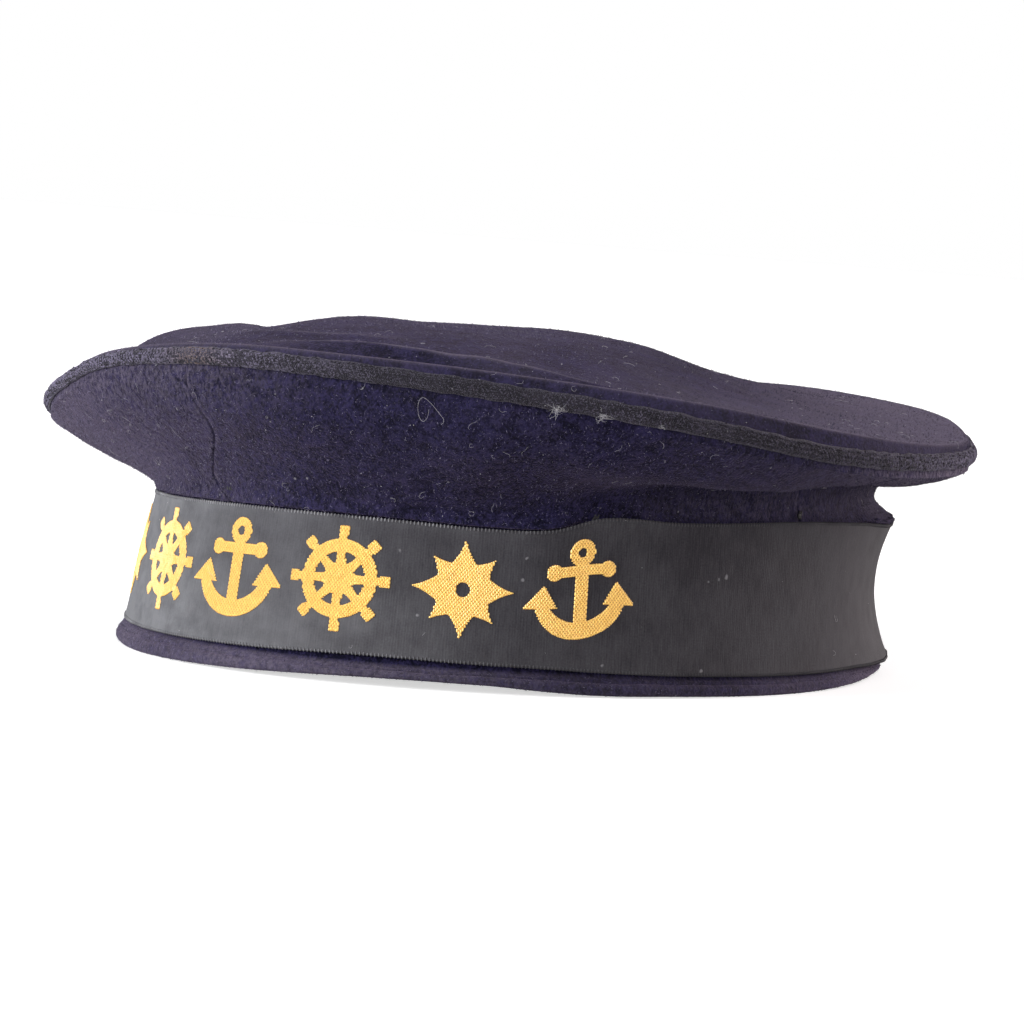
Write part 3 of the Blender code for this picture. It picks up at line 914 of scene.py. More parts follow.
class Value:
    """A value that changes over a surface; each way of working it on adds a node to its tree."""

    def __init__(self, tree, socket):
        self.tree, self.socket = tree, socket

    def feed(self, socket):
        self.tree.links.new(self.socket, socket)

    def maths(self, operation, other=0.0):
        return source(self.tree, "ShaderNodeMath", 0, {0: self, 1: other}, operation=operation)

    def __add__(self, other):
        return self.maths("ADD", other)

    def __sub__(self, other):
        return self.maths("SUBTRACT", other)

    def __mul__(self, other):
        return self.maths("MULTIPLY", other)

    def clamped(self):
        """The same value, kept between 0 and 1."""
        self.socket.node.use_clamp = True
        return self

    def ramped(self, low, high):
        """0 below low and 1 above high, smooth between."""
        inputs = {0: self, 1: low, 2: high}
        return source(self.tree, "ShaderNodeMapRange", 0, inputs, interpolation_type="SMOOTHSTEP")

    def between(self, low, high):
        """The colour this far on the way from one to another."""
        return source(self.tree, "ShaderNodeMix", 2, {0: self, 6: low, 7: high}, data_type="RGBA")

    def vector(self, operation, other):
        return source(self.tree, "ShaderNodeVectorMath", 0, {0: self, 1: other}, operation=operation)

    def grain(self, scale, detail=2.0, rough=0.5):
        """Noise from 0 to 1 at this place in metres; the scale is in grains a metre."""
        inputs = {"Vector": self, "Scale": scale, "Detail": detail, "Roughness": rough}
        return source(self.tree, "ShaderNodeTexNoise", "Fac", inputs)


def place_in(tree):
    """The place on the cap, in metres."""
    return source(tree, "ShaderNodeTexCoord", "Object")


def stored_value(tree, name):
    return source(tree, "ShaderNodeAttribute", "Fac", attribute_name=name)


def new_group(name, inputs, outputs):
    """A shader node group with named sockets: its tree, its given values and its last node's inputs."""
    tree = bpy.data.node_groups.new(name, "ShaderNodeTree")
    for label, kind, value in inputs:
        socket = tree.interface.new_socket(label, in_out="INPUT", socket_type=kind)
        socket.default_value = value
    for label, kind in outputs:
        tree.interface.new_socket(label, in_out="OUTPUT", socket_type=kind)
    given = {socket.name: Value(tree, socket) for socket in tree.nodes.new("NodeGroupInput").outputs}
    return tree, given, tree.nodes.new("NodeGroupOutput").inputs


FLOAT, COLOUR, VECTOR = "NodeSocketFloat", "NodeSocketColor", "NodeSocketVector"


def napped_wool_group():
    """Matted wool fibres that lie along one way, in two tones, with soft clouding and a warmer flush."""
    tree, given, out = new_group(
        "Napped wool",
        [
            ("Dark", COLOUR, (0, 0, 0, 1)),
            ("Light", COLOUR, (1, 1, 1, 1)),
            ("Flush", COLOUR, (1, 1, 1, 1)),
            ("Fibre way", VECTOR, (1, 1, 0.3)),
            ("Fibres a metre", FLOAT, 1700.0),
            ("Clouding", FLOAT, 0.5),
        ],
        [("Colour", COLOUR), ("Height", FLOAT)],
    )
    place = place_in(tree)
    laid = place.vector("MULTIPLY", given["Fibre way"])
    fibres = laid.grain(given["Fibres a metre"], 3.0, 0.65)
    tufts = laid.grain(given["Fibres a metre"] * 0.3)
    height = fibres * 0.65 + tufts * 0.35
    cloud = (place.grain(40.0) + place.grain(160.0, 2.0, 0.6) - 1.0) * given["Clouding"]
    tone = (height.ramped(0.38, 0.64) + cloud).clamped()
    cloth = tone.between(given["Dark"], given["Light"])
    flushed = place.grain(90.0, 3.0, 0.6).ramped(0.42, 0.66) * tone * 0.3
    flushed.between(cloth, given["Flush"]).feed(out["Colour"])
    height.feed(out["Height"])
    return tree


def lint_group():
    """A mask of small pale flecks and fibres caught in the cloth."""
    tree, given, out = new_group(
        "Caught lint", [("Amount", FLOAT, 0.5), ("Flecks a metre", FLOAT, 260.0)], [("Mask", FLOAT)]
    )
    place = place_in(tree)
    bent = source(tree, "ShaderNodeTexNoise", "Color", {"Vector": place, "Scale": 500.0})
    where = place.vector("ADD", bent.vector("MULTIPLY", (0.0012, 0.0012, 0.0012)))
    cells = add_node(tree, "ShaderNodeTexVoronoi", {"Vector": where, "Scale": given["Flecks a metre"]})
    fleck = Value(tree, cells.outputs["Distance"]).ramped(0.10, 0.03)
    cell_tone = source(tree, "ShaderNodeSeparateColor", 0, {0: Value(tree, cells.outputs["Color"])})
    kept = cell_tone.maths("GREATER_THAN", 0.72)
    (fleck * kept * given["Amount"]).clamped().feed(out["Mask"])
    return tree


def thread_group():
    """Fine strands of a twisted thread, as a tone from 0 to 1."""
    tree, given, out = new_group(
        "Thread strands",
        [("Strand way", VECTOR, (1, 1, 0.2)), ("Strands a metre", FLOAT, 5000.0)],
        [("Tone", FLOAT)],
    )
    laid = place_in(tree).vector("MULTIPLY", given["Strand way"])
    laid.grain(given["Strands a metre"], 2.0, 0.6).ramped(0.3, 0.7).feed(out["Tone"])
    return tree


GROUP_MAKERS = {
    "Napped wool": napped_wool_group,
    "Caught lint": lint_group,
    "Thread strands": thread_group,
}


def place_group(tree, name, **inputs):
    """The outputs of one of the shared groups, which is built the first time that it is needed."""
    made = tree.nodes.new("ShaderNodeGroup")
    made.node_tree = bpy.data.node_groups.get(name) or GROUP_MAKERS[name]()
    for key, value in inputs.items():
        made.inputs[key.replace("_", " ").capitalize()].default_value = value
    return {socket.name: Value(tree, socket) for socket in made.outputs}


def new_material(name, **sockets):
    """A material, its node tree and its shader, with plain values on the shader's own sockets."""
    material = bpy.data.materials.new(name)
    material.use_nodes = True
    tree = material.node_tree
    shader = tree.nodes["Principled BSDF"]
    for key, value in sockets.items():
        shader.inputs[key.replace("_", " ")].default_value = value
    return material, tree, shader


def colour(name):
    """One of the cap's colours, with its alpha."""
    return (*getattr(bpy.context.scene.cap_colours, name), 1.0)


def dress(shader, cloth, relief, depth, strength, **lint):
    """Feeds a shader its colour, with any caught lint over it, and its bump."""
    if lint:
        mask = place_group(cloth.tree, "Caught lint", **lint)["Mask"]
        cloth = mask.between(cloth, colour("lint"))
    cloth.feed(shader.inputs["Base Color"])
    if strength:
        bump = {"Strength": strength, "Distance": depth, "Height": relief}
        source(cloth.tree, "ShaderNodeBump", 0, bump).feed(shader.inputs["Normal"])


# Each wool cloth: which way its fibres lie, and how strong its clouding, its sheen and its worn patches are.
TOP_WOOL, SIDE_WOOL, HEM_WOOL = rows_of(
    "name fibre_way clouding sheen mottle",
    ("navy_wool_top", (1, 1, 1), 1.1, 0.08, 0.15),
    ("navy_wool_side", (1, 1, 0.9), 0.6, 0.15, 1.1),
    ("navy_wool_hem", (1, 1, 0.9), 0.6, 0.15, 0.45),
)
MOTTLE_MIDDLE = 0.675


def wool_material(wool):
    """Navy wool cloth with a raised nap, paler where it is rubbed and where light is painted on."""
    material, tree, shader = new_material(
        wool.name,
        Roughness=0.95,
        Specular_IOR_Level=0.1,
        Sheen_Weight=wool.sheen,
        Sheen_Roughness=0.36,
        Sheen_Tint=(0.78, 0.62, 0.96, 1),
    )
    nap = place_group(
        tree,
        "Napped wool",
        dark=colour("wool_dark"),
        light=colour("wool_light"),
        flush=colour("wool_flush"),
        fibre_way=wool.fibre_way,
        clouding=wool.clouding,
    )
    laid = place_in(tree).vector("MULTIPLY", (1, 1, 0.6))
    mottle = laid.grain(1150.0, 3.0, 0.7).ramped(0.36, 0.64) * wool.mottle + (MOTTLE_MIDDLE - wool.mottle / 2)
    wear_and_light = (stored_value(tree, "rubbed") * mottle).clamped()
    cloth = wear_and_light.between(nap["Colour"], colour("wool_wear_and_light"))
    dress(shader, cloth, nap["Height"], depth=0.0007, strength=1.0, amount=0.35)
    return material


def braid_material(name, spread_of_tones):
    """Dark mohair braid in salt-and-pepper yarns, with a warm worn patch."""
    material, tree, shader = new_material(
        name, Roughness=0.85, Specular_IOR_Level=0.15, Sheen_Weight=0.25, Sheen_Tint=(0.85, 0.8, 0.95, 1)
    )
    yarn = place_group(tree, "Thread strands", strand_way=(1, 1, 1), strands_a_metre=2400.0)["Tone"]
    tone = (stored_value(tree, "tone") * (yarn * 0.6 + 0.5) * spread_of_tones).clamped()
    cloth = tone.between(colour("braid_dark"), colour("braid_light"))
    cloth = (stored_value(tree, "rubbed") * tone).between(cloth, colour("braid_worn"))
    dress(shader, cloth, yarn, depth=0.0002, strength=0.6, amount=0.4, flecks_a_metre=420.0)
    return material


def ribbon_material(rib_pitch):
    """Black ribbed ribbon with a dusty bloom, paler where it is rubbed and where light is painted on."""
    material, tree, shader = new_material(
        "ribbon_rep_weave", Specular_IOR_Level=0.24, Sheen_Weight=0.03, Sheen_Roughness=0.5
    )
    where = source(tree, "ShaderNodeUVMap", "UV", uv_map="cloth")
    along = source(tree, "ShaderNodeSeparateXYZ", "X", {0: where})
    ribs = (along * (TURN / (rib_pitch / MM))).maths("SINE").ramped(-1.0, 1.0)
    yarns = where.vector("MULTIPLY", (1.0, 0.10, 0.0)).grain(2.2, 2.0, 0.6)
    fine = where.grain(2.4, 3.0, 0.65)
    place = place_in(tree)
    bloom = place.grain(38.0, 4.0, 0.6).ramped(0.36, 0.70)
    dusty = place.grain(150.0, 4.0, 0.65).ramped(0.25, 0.75) * 0.5 + 0.55
    rubbed = stored_value(tree, "rubbed") * dusty
    tone = bloom * 0.15 + rubbed * 0.85 + yarns * 0.26 + fine * 0.30 + ribs * 0.03 - 0.27
    cloth = tone.clamped().between(colour("ribbon_dark"), colour("ribbon_light"))
    (bloom * 0.10 + 0.76).feed(shader.inputs["Roughness"])
    relief = ribs * 0.2 + yarns + fine
    dress(shader, cloth, relief, depth=0.00007, strength=0.6, amount=0.25, flecks_a_metre=180.0)
    return material


def thread_material(
    name, light, dark, fine=1.0, base=0.0, strands=4200.0, way=(1, 1, 1), relief=0.5, **sockets
):
    """Thread that runs from its dark to its light colour, by its stored tone and its fine strands."""
    material, tree, shader = new_material(name, **sockets)
    strand = place_group(tree, "Thread strands", strand_way=way, strands_a_metre=strands)["Tone"]
    tone = (stored_value(tree, "tone") * (strand * fine + base)).clamped()
    dress(shader, tone.between(colour(dark), colour(light)), strand, depth=0.00006, strength=relief)
    return material


# ---------------------------------------------------------------- operators, one for each piece


class CAP_OT_crown_top(bpy.types.Operator):
    """Builds the top panel with its turned-down strip."""

    bl_idname = "cap.crown_top"
    bl_label = "Crown top"

    def execute(self, context):
        outer, count, crest_highlight = top_skin()
        a = ring_angles(TOP_COLUMNS)
        rim, ridge = around(RIM, "height ridge", a)
        insets = np.array(LINING_INSETS)[None]
        panel = at(a, RIDGE_RADIUS - insets, top_height(a, insets) - CLOTH)
        strip_rise = (ridge - LIP_RISE - LINING_TOP) * np.array([[0.0, 0.5, 1.0]])
        strip = at(a, LAP_RADIUS - CLOTH, rim + LIP_RISE + strip_rise)
        skin = np.concatenate([outer[:, ::-1], strip, panel], 1)
        columns, points = skin.shape[:2]
        faces, (_, p) = sweep_faces(columns, points, True)
        faces = faces[p < points - 1].tolist()
        # A point in the middle of each face of the panel closes the rings that run round it.
        high = (0, 0, outer[:, -1, 2].mean())
        low = (0, 0, float(top_height(np.array(0.0), np.array(RIM_RADIUS))) - CLOTH)
        first = columns * points
        for c in range(columns):
            after = (c + 1) % columns
            faces.append((c * points, after * points, first))
            faces.append((c * points + points - 1, after * points + points - 1, first + 1))
        place, places = np.arange(outer.shape[1]), outer.shape[1]
        # A pale line along the ridge: rubbed wear and a painted highlight on its crest.
        edge = 0.8 * bell(place - count + 1.5, 1.6) * (0.75 + uneven("top_wear", outer[:, -1])[:, None])
        # Painted light from the table over the panel and the strip, with some rubbing.
        panel_light = around(WEAR_AND_LIGHT, "top", a) * eased(np.hypot(outer[..., 0], outer[..., 1]), 25, 75)
        painted_light = np.where(place < count, around(WEAR_AND_LIGHT, "strip", a), panel_light)
        # A painted highlight of backlit sheen, paler towards the camera's right and mostly kept off the
        # strip.
        wear_and_light = 0.80 * eased(turned(skin[..., 0], skin[..., 1], VIEW_AZIMUTH)[0], 32, 102)
        wear_and_light[:, places - count : places] *= 0.12
        wear_and_light[:, :places] += (edge + crest_highlight + painted_light)[:, ::-1]
        shape = np.concatenate([skin.reshape(-1, 3), [high, low]]), faces
        stored = np.concatenate([wear_and_light.ravel(), [0, 0]])
        piece = finish_piece("crown_top_cloth", shape, wool_material(TOP_WOOL), "navy_wool", rubbed=stored)
        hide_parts("crown_top")
        return {"FINISHED"}


def side_wear_and_light(skin, level):
    """How pale the quarters are: painted light with some rubbing, strongest towards the rim; on the wearer's
    left, painted shade low down, a warm painted light at the neck and a painted highlight along the fold.
    """
    turn = angle_of(skin)
    # A warm painted light at the neck on the wearer's left.
    warm_painted_light = 0.24 * span(turn, 50, 80, 130, 150) * bell(level - 0.19, 0.1, 4)
    # Painted light from the table, strongest towards the rim, most sharply so on the wearer's left.
    lean = span(turn, 70, 90, 105, 125)
    painted_light = around(WEAR_AND_LIGHT, "side", turn) * (0.7 - 0.35 * lean + (0.5 + 0.8 * lean) * bell(1 - level, 0.25))
    # Painted shade low down on the wearer's left, under the overhang.
    painted_light = painted_light * (1 - 0.9 * eased(turn, 60, 80) * eased(level, 0.42, 0.32))
    # A painted highlight along the fold where it turns edge-on to the camera.
    facing = normals_of(skin) @ np.array(way_towards(VIEW_AZIMUTH, VIEW_ELEVATION))
    fold = bell(facing, 0.1197) * span(turn, 55, 75, 115, 125) * bell(level - 0.42, 0.16, 4)
    return warm_painted_light + painted_light + 0.22 * fold


class CAP_OT_quarters(bpy.types.Operator):
    """Builds the four side quarters, each rolled in at its seams."""

    bl_idname = "cap.quarters"
    bl_label = "Side quarters"

    def execute(self, context):
        wool = wool_material(SIDE_WOOL)
        for index, name in enumerate(QUARTERS):
            skin, level, to_seam = quarter_skin(index)
            thickness = FOOT_CLOTH + (CLOTH - FOOT_CLOTH) * eased(level, 0, 0.12)
            section = thick_section(skin, thickness[..., None])
            wear_and_light = np.zeros(section.shape[:2])
            # Rubbed wear beside the seams, with the sides' painted light and shade.
            wear_and_light[:, 1 : skin.shape[1] + 1] = 0.12 * bell(to_seam - 0.9, 0.5) + side_wear_and_light(skin, level)
            piece = sweep(f"quarter_{name}_cloth", section, wool, "navy_wool", ring=False, rubbed=wear_and_light)
            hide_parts(f"quarter_{name}")
        return {"FINISHED"}


class CAP_OT_edge_tape(bpy.types.Operator):
    """Builds the braid round the rim, and the slanting yarns that it is plaited from."""

    bl_idname = "cap.edge_tape"
    bl_label = "Edge braid"

    def execute(self, context):
        a = ring_angles(TAPE_COLUMNS)
        across = np.linspace(-1, 1, 13)[None]
        outer = tape_face(a, across)
        share = (across[:, 1:-1:4] + 1)[..., None] / 2
        back = outer[:, :1] * (1 - share) + outer[:, -1:] * share - at(a, TAPE_EDGE, 0.0)
        section = np.concatenate([outer, back[:, ::-1]], 1)
        # The braid's tone carries painted light from the table, paler where the braid is lit.
        tones = (0.3 + uneven("tape_tone", section)) * around(WEAR_AND_LIGHT, "tape", a)
        ground = braid_material("braid_ground", 0.5)
        tape = sweep("edge_tape_braid", section, ground, "braid_tape", ring=True, tone=tones)
        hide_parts("edge_tape")

        rng = np.random.default_rng(53)
        pitch = context.scene.cap_sizes.braid_pitch / MM
        count = round(TURN * RIM_RADIUS / pitch)
        row = np.repeat(np.arange(BRAID_ROWS), count)
        angle = (np.tile(np.arange(count), BRAID_ROWS) + 0.5 * (row % 2)) * 360 / count
        across = (2 * row + 1 - BRAID_ROWS) * BRAID_ROW_STEP + rng.normal(0, 0.03, len(row))
        angle = angle + rng.normal(0, 0.03, len(row))
        here, up, ahead, out = laid_on(tape_face, angle, across)
        slant = np.where(row % 2, 1, -1) * BRAID_SLANT + rng.normal(0, BRAID_SLANT_SPREAD, len(row))
        slant = np.radians(slant)[:, None]
        way = ahead * np.cos(slant) + up * np.sin(slant)
        # The yarns carry the same painted light.
        width, tape_light = around(RIM, "tape", angle), around(WEAR_AND_LIGHT, "tape", angle)
        long = (width * BRAID_YARN_LENGTH * rng.uniform(0.7, 1.3, len(row)))[:, None]
        thin = pitch * BRAID_YARN_WIDTH
        frames = np.stack([np.cross(way, out) * thin, way * long, out * thin], 1)
        lifted = here + out * rng.normal(0.02, 0.04, len(row))[:, None]
        pale = (np.arange(len(row)) + row // 2) % 2 ^ (rng.random(len(row)) < BRAID_MIXED_SHARE)
        tones = np.where(pale, rng.uniform(0.5, 1.0, len(row)), rng.uniform(0.0, 0.15, len(row)))
        finish_piece(
            "edge_tape_yarns",
            spread(bead_shape(4, 1), lifted, frames),
            braid_material("braid_yarn", 1.0),
            "braid_tape",
            rubbed=bell(angle - 360 * (angle > 180) + 2.5, 4.0),
            tone=tones * tape_light,
        )
        return {"FINISHED"}


class CAP_OT_headband(bpy.types.Operator):
    """Builds the headband with its rolled hem."""

    bl_idname = "cap.headband"
    bl_label = "Headband"

    def execute(self, context):
        outer, count = band_skin(), len(HEM)
        a = ring_angles(BAND_COLUMNS)
        inner = outer[:, count:] - at(a, 1.0, 0.0) * BAND_WALL
        skin = np.concatenate([outer, inner[:, ::-1]], 1)
        wear_and_light = np.zeros(skin.shape[:2])
        level = np.array([row.level for row in HEM])
        # The hem's painted light from the table, with its rubbed lines.
        wear_and_light[:, :count] = around(WEAR_AND_LIGHT, "hem", a) + rubbed_at(HEM_RUBS, level)
        wool = wool_material(HEM_WOOL)
        piece = sweep("headband_cloth", skin, wool, "navy_wool", ring=True, rubbed=wear_and_light)
        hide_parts("headband")
        return {"FINISHED"}


class CAP_OT_ribbon(bpy.types.Operator):
    """Builds the ribbon round the headband and the loops along its edges."""

    bl_idname = "cap.ribbon"
    bl_label = "Ribbon"

    def execute(self, context):
        sizes = context.scene.cap_sizes
        along, outer = ribbon_skin()
        section = thick_section(outer, RIBBON_CLOTH, 0.2)
        rows = outer.shape[1]
        level = np.linspace(0, 1, rows)[None]
        width = np.linalg.norm(outer[:, -1] - outer[:, 0], axis=-1)[:, None]
        across = np.concatenate([0 * width, width * level, width, (width * level)[:, ::-1]], 1)
        turn = angle_of(outer)
        edge = rubbed_at(RIBBON_RUBS, level) * (0.06 + 0.45 * bell(turn, 42))
        edge = edge * (0.7 + uneven("ribbon_wear", outer))
        # Painted light from the table, less high up just past the front on the wearer's left, where shade is
        # painted.
        painted_light = around(WEAR_AND_LIGHT, "ribbon", turn) * (1 - 0.45 * eased(level, 0.3, 0.8) * bell(turn - 16, 24))
        wear_and_light = np.zeros(section.shape[:2])
        wear_and_light[:, 1 : rows + 1] = edge + painted_light
        weave = ribbon_material(sizes.rib_pitch)
        maps = {"along": along, "across": across}
        ribbon = sweep("tally_ribbon_cloth", section, weave, "ribbon_rep", ring=False, **maps, rubbed=wear_and_light)
        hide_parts("tally_ribbon")

        gone_at, along_at = ribbon_length()
        gone = np.interp(np.arange(0.6, along_at[-1] - 0.6, sizes.loop_pitch / MM), along_at, gone_at)
        middle = ribbon_points(gone, 0.5, SELVEDGE_LIFT)
        centres, frames = [], []
        for level, tilt in ((0.004, -1), (0.996, 1)):
            here = ribbon_points(gone, level, SELVEDGE_LIFT)
            up = unit(here - middle)
            ahead = unit(np.gradient(here, axis=0))
            out = unit(np.cross(ahead, up)) * tilt
            centres.append(here - up * 0.15)
            frames.append(np.stack([ahead * LOOP_WIDTH, up * LOOP_LENGTH, out * LOOP_HEIGHT], 1))
        centres = np.concatenate(centres)
        turn = signed(RIBBON_START + gone)
        # Painted light: the loops are pale at the front and the lit side and dark round the rest; the lower
        # loops are paler still on the wearer's right.
        loop_light = 0.12 + 0.45 * bell(turn + 18, 42, 4) + 0.43 * bell(turn - 2, 32, 4)
        tones = np.concatenate([loop_light * (0.5 + 0.6 * bell(turn + 42, 25)), loop_light])
        tones = tones * (0.8 + uneven("selvedge_tone", centres))
        thread = thread_material(
            "selvedge_thread", "selvedge", "ribbon_dark", fine=0.5, base=0.5, Roughness=0.7
        )
        loops = spread(bead_shape(5, 3), centres, np.concatenate(frames))
        finish_piece("ribbon_selvedge", loops, thread, "ribbon_rep", tone=tones)
        return {"FINISHED"}


def anchor_shape(x, y):
    """Inside a plain anchor, for places in millimetres from its middle."""
    side = np.abs(x)
    ring = np.abs(np.hypot(x, y - 8.0) - 1.9) < 0.95
    stock = (np.abs(y - 4.3) < 1.15) & (side < 6.0) | (np.hypot(side - 6.0, y - 4.3) < 1.75)
    shank = (side < 1.55) & (y > -8.5) & (y < 6.6)
    arms = (np.hypot(x, (y + 0.2) * 1.05) < 10.4) & (np.hypot(x, (y - 2.3) * 0.95) > 8.4) & (y < -1.2)
    tip = y + 1.6
    flukes = (np.abs(tip - 0.8) < 2.4) & (np.abs(side - 8.6 + 0.15 * tip) < 2.6 * (1 - tip / 3.4))
    return ring | stock | shank | arms | flukes


def star_shape(x, y):
    """Inside an eight-pointed compass star with a hole in its middle."""
    long_points = np.abs(x / 11.6) ** 0.66 + np.abs(y / 10.8) ** 0.66 < 1
    p, q = (x + y) / math.sqrt(2), (x - y) / math.sqrt(2)
    short_points = np.abs(p / 9.6) ** 0.72 + np.abs(q / 9.6) ** 0.72 < 1
    return (long_points | short_points | (np.hypot(x, y) < 4.6)) & (np.hypot(x, y) > 1.5)


def wheel_shape(x, y):
    """Inside an eight-spoked ship's wheel."""
    reach, turn = np.hypot(x, y), np.arctan2(y, x)
    rim = np.abs(reach - 6.9) < 1.35
    off_spoke = reach * np.abs(np.sin(4 * (turn - math.pi / 8) + math.pi / 2)) / 4
    spokes = (off_spoke < 0.85) & (reach < 10.6)
    knobs = (off_spoke < 1.15) & (np.abs(reach - 10.0) < 1.0)
    return rim | spokes | knobs | (reach < 2.5)


MOTIFS = rows_of(
    "name along shape",
    ("woven_anchor_1", -82.0, anchor_shape),
    ("woven_star_1", -55.0, star_shape),
    ("woven_wheel_1", -27.0, wheel_shape),
    ("woven_anchor_2", 0.0, anchor_shape),
    ("woven_wheel_2", 27.0, wheel_shape),
    ("woven_star_2", 55.0, star_shape),
    ("woven_anchor_3", 82.0, anchor_shape),
)
MOTIF_LEVEL = 0.54
MOTIF_SIZE = 1.07
MOTIF_LIFT = 0.12
SHORTEST_FLOAT = 0.3
SHORTEST_CUT = 0.25


def floats_of(shape, width, length):
    """The gold threads that fill a shape, as (x, lowest y, highest y) rows in a brick pattern."""
    heights = np.arange(-12, 12, 0.05)
    found = []
    for i, x in enumerate(np.arange(-13, 13, width)):
        inside = np.concatenate([[False], shape(x / MOTIF_SIZE, heights / MOTIF_SIZE), [False]]).astype(int)
        starts, ends = (np.where(np.diff(inside) == step)[0] for step in (1, -1))
        for start, end in zip(starts, ends):
            low, high = heights[start], heights[end - 1]
            if high - low < SHORTEST_FLOAT:
                continue
            offset = 0.5 * (i % 2)
            first = math.ceil(low / length - offset)
            cuts = [low, *((k + offset) * length for k in range(first, first + 60)), high]
            cuts = [cut for cut in cuts if low <= cut <= high]
            if len(cuts) > 2 and cuts[1] - cuts[0] < SHORTEST_CUT:
                del cuts[1]
            if len(cuts) > 2 and cuts[-1] - cuts[-2] < SHORTEST_CUT:
                del cuts[-2]
            found += [(x, *pair) for pair in zip(cuts, cuts[1:])]
    return np.array(found)


def woven_face(gone, level):
    """The face of the ribbon that the gold threads lie on."""
    return ribbon_points(gone, level, MOTIF_LIFT)


class CAP_OT_motifs(bpy.types.Operator):
    """Weaves the gold motifs into the ribbon, thread by thread."""

    bl_idname = "cap.motifs"
    bl_label = "Woven motifs"

    def execute(self, context):
        sizes = context.scene.cap_sizes
        width, length = sizes.float_width / MM, sizes.float_length / MM
        gone_at, along_at = ribbon_length()
        front = np.interp(360 - RIBBON_START, gone_at, along_at)
        look = {"fine": 0.25, "base": 0.75, "strands": 2600.0, "way": (1, 1, 0.35)}
        shine = {"Roughness": 0.42, "Specular_IOR_Level": 0.75, "Sheen_Weight": 0.2}
        gold = thread_material("gold_thread", "gold", "gold_shade", **look, **shine)
        rng = np.random.default_rng(61)
        bead = bead_shape(4, 3)
        # Painted shade: each thread darkens towards its ends, where it dips into the weave.
        dip_shade = 1 - np.abs(bead[0][:, 1]) ** 1.7
        for motif in MOTIFS:
            x, low, high = floats_of(motif.shape, width, length).T
            gone = np.interp(front + motif.along + x, along_at, gone_at)
            foot, head = around(BAND, "foot head", RIBBON_START + gone)
            level = MOTIF_LEVEL + (low + high) / 2 / (head - foot)
            here, up, ahead, out = laid_on(woven_face, gone, level)
            way = unit(up + ahead * rng.normal(0.0, 0.04, len(x))[:, None])
            plump = (rng.normal(1.0, 0.08, len(x)) * GOLD_HEIGHT)[:, None]
            long = ((high - low) / 2 * GOLD_LENGTH_SHARE)[:, None]
            frames = np.stack([ahead * width * GOLD_WIDTH_SHARE, way * long, out * plump], 1)
            # Each thread's own tone, with painted shade darkening the threads on the wearer's right, where
            # the light is strongest.
            own_and_shade = rng.uniform(0.72, 1.0, len(x)) * (0.58 + 0.42 * eased(signed(RIBBON_START + gone), -45, 30))
            woven = spread(bead, here, frames)
            finish_piece(motif.name, woven, gold, "ribbon_rep", tone=np.outer(own_and_shade, dip_shade))
        return {"FINISHED"}


def grow_nap(name, grids, fibre, count, length, lying, seed):
    """Short wool fibres on one or more outer faces, leaning along the nap."""
    rng = np.random.default_rng(seed)
    crossed = (np.cross(np.gradient(grid, axis=0), np.gradient(grid, axis=1)) for grid in grids)
    areas = [np.linalg.norm(patch, axis=-1).sum() for patch in crossed]
    found = [sample(g, round(count * area / sum(areas)), rng) for g, area in zip(grids, areas)]
    here, out, up = (np.concatenate(parts) for parts in zip(*found))
    way = unit(out * 0.5 + up * lying + rng.normal(0, 0.75, here.shape))
    way = unit(way + out * np.maximum(0, 0.25 - (way * out).sum(-1, keepdims=True)))
    side = unit(np.cross(way, out + rng.normal(0, 0.2, here.shape)))
    long = (length / MM * rng.uniform(NAP_SHORTEST, 1.0, len(here)) ** 1.5)[:, None]
    frames = np.stack([side * NAP_RADIUS, way * long, np.cross(side, way) * NAP_RADIUS], 1)
    turn = angle_of(here)
    # Painted light and shade: the fibres are paler on the wearer's right and darker on the wearer's left.
    fibre_light = 1 + 1.5 * bell(turn + 45, 35) - 0.45 * eased(turn, 45, 85)
    tones = np.where(rng.random(len(here)) < 0.55, 0.2, 1.0) * rng.random(len(here)) * fibre_light
    finish_piece(name, spread(spike_shape(), here - out * 0.05, frames), fibre, "navy_wool", tone=tones)


class CAP_OT_nap(bpy.types.Operator):
    """Grows the wool's short nap on the crown and the hem."""

    bl_idname = "cap.nap"
    bl_label = "Wool nap"

    def execute(self, context):
        sizes = context.scene.cap_sizes
        count, length = sizes.nap_count, sizes.nap_length
        look = {"fine": 0.5, "base": 0.7, "strands": 1500.0, "relief": 0}
        shine = {"Roughness": 0.85, "Specular_IOR_Level": 0.15}
        sheen = {"Sheen_Weight": 0.2, "Sheen_Tint": (0.8, 0.7, 1.0, 1)}
        fibre = thread_material("wool_fibre", "wool_tips", "wool_dark", **look, **shine, **sheen)
        top, band = (np.concatenate([grid, grid[:1]]) for grid in (top_skin()[0], band_skin()))
        grow_nap("crown_top_nap", [top], fibre, round(count * 0.65), length, 0.1, 71)
        sides = [quarter_skin(index)[0] for index in range(len(QUARTERS))]
        grow_nap("quarters_nap", sides, fibre, count, length, -0.5, 72)
        grow_nap("headband_nap", [band[:, 1 : len(HEM)]], fibre, count // 5, length * 0.8, -0.2, 73)
        return {"FINISHED"}


def stray_thread(here, out, rng, length, curl, steps=9):
    """A curling path that starts on the cloth and lies close over it."""
    ahead = unit(np.cross(out, rng.normal(size=3)))
    side = np.cross(out, ahead)
    turn = rng.uniform(0, TURN)
    path = [here + out * 0.12]
    bend = rng.normal(0, curl)
    for _ in range(steps):
        turn += bend + rng.normal(0, 0.25)
        path.append(path[-1] + (ahead * math.cos(turn) + side * math.sin(turn)) * length / steps)
    rise = np.sin(np.linspace(0, math.pi, steps + 1)) * rng.uniform(0.05, 0.5)
    return np.array(path) + out * rise[:, None]


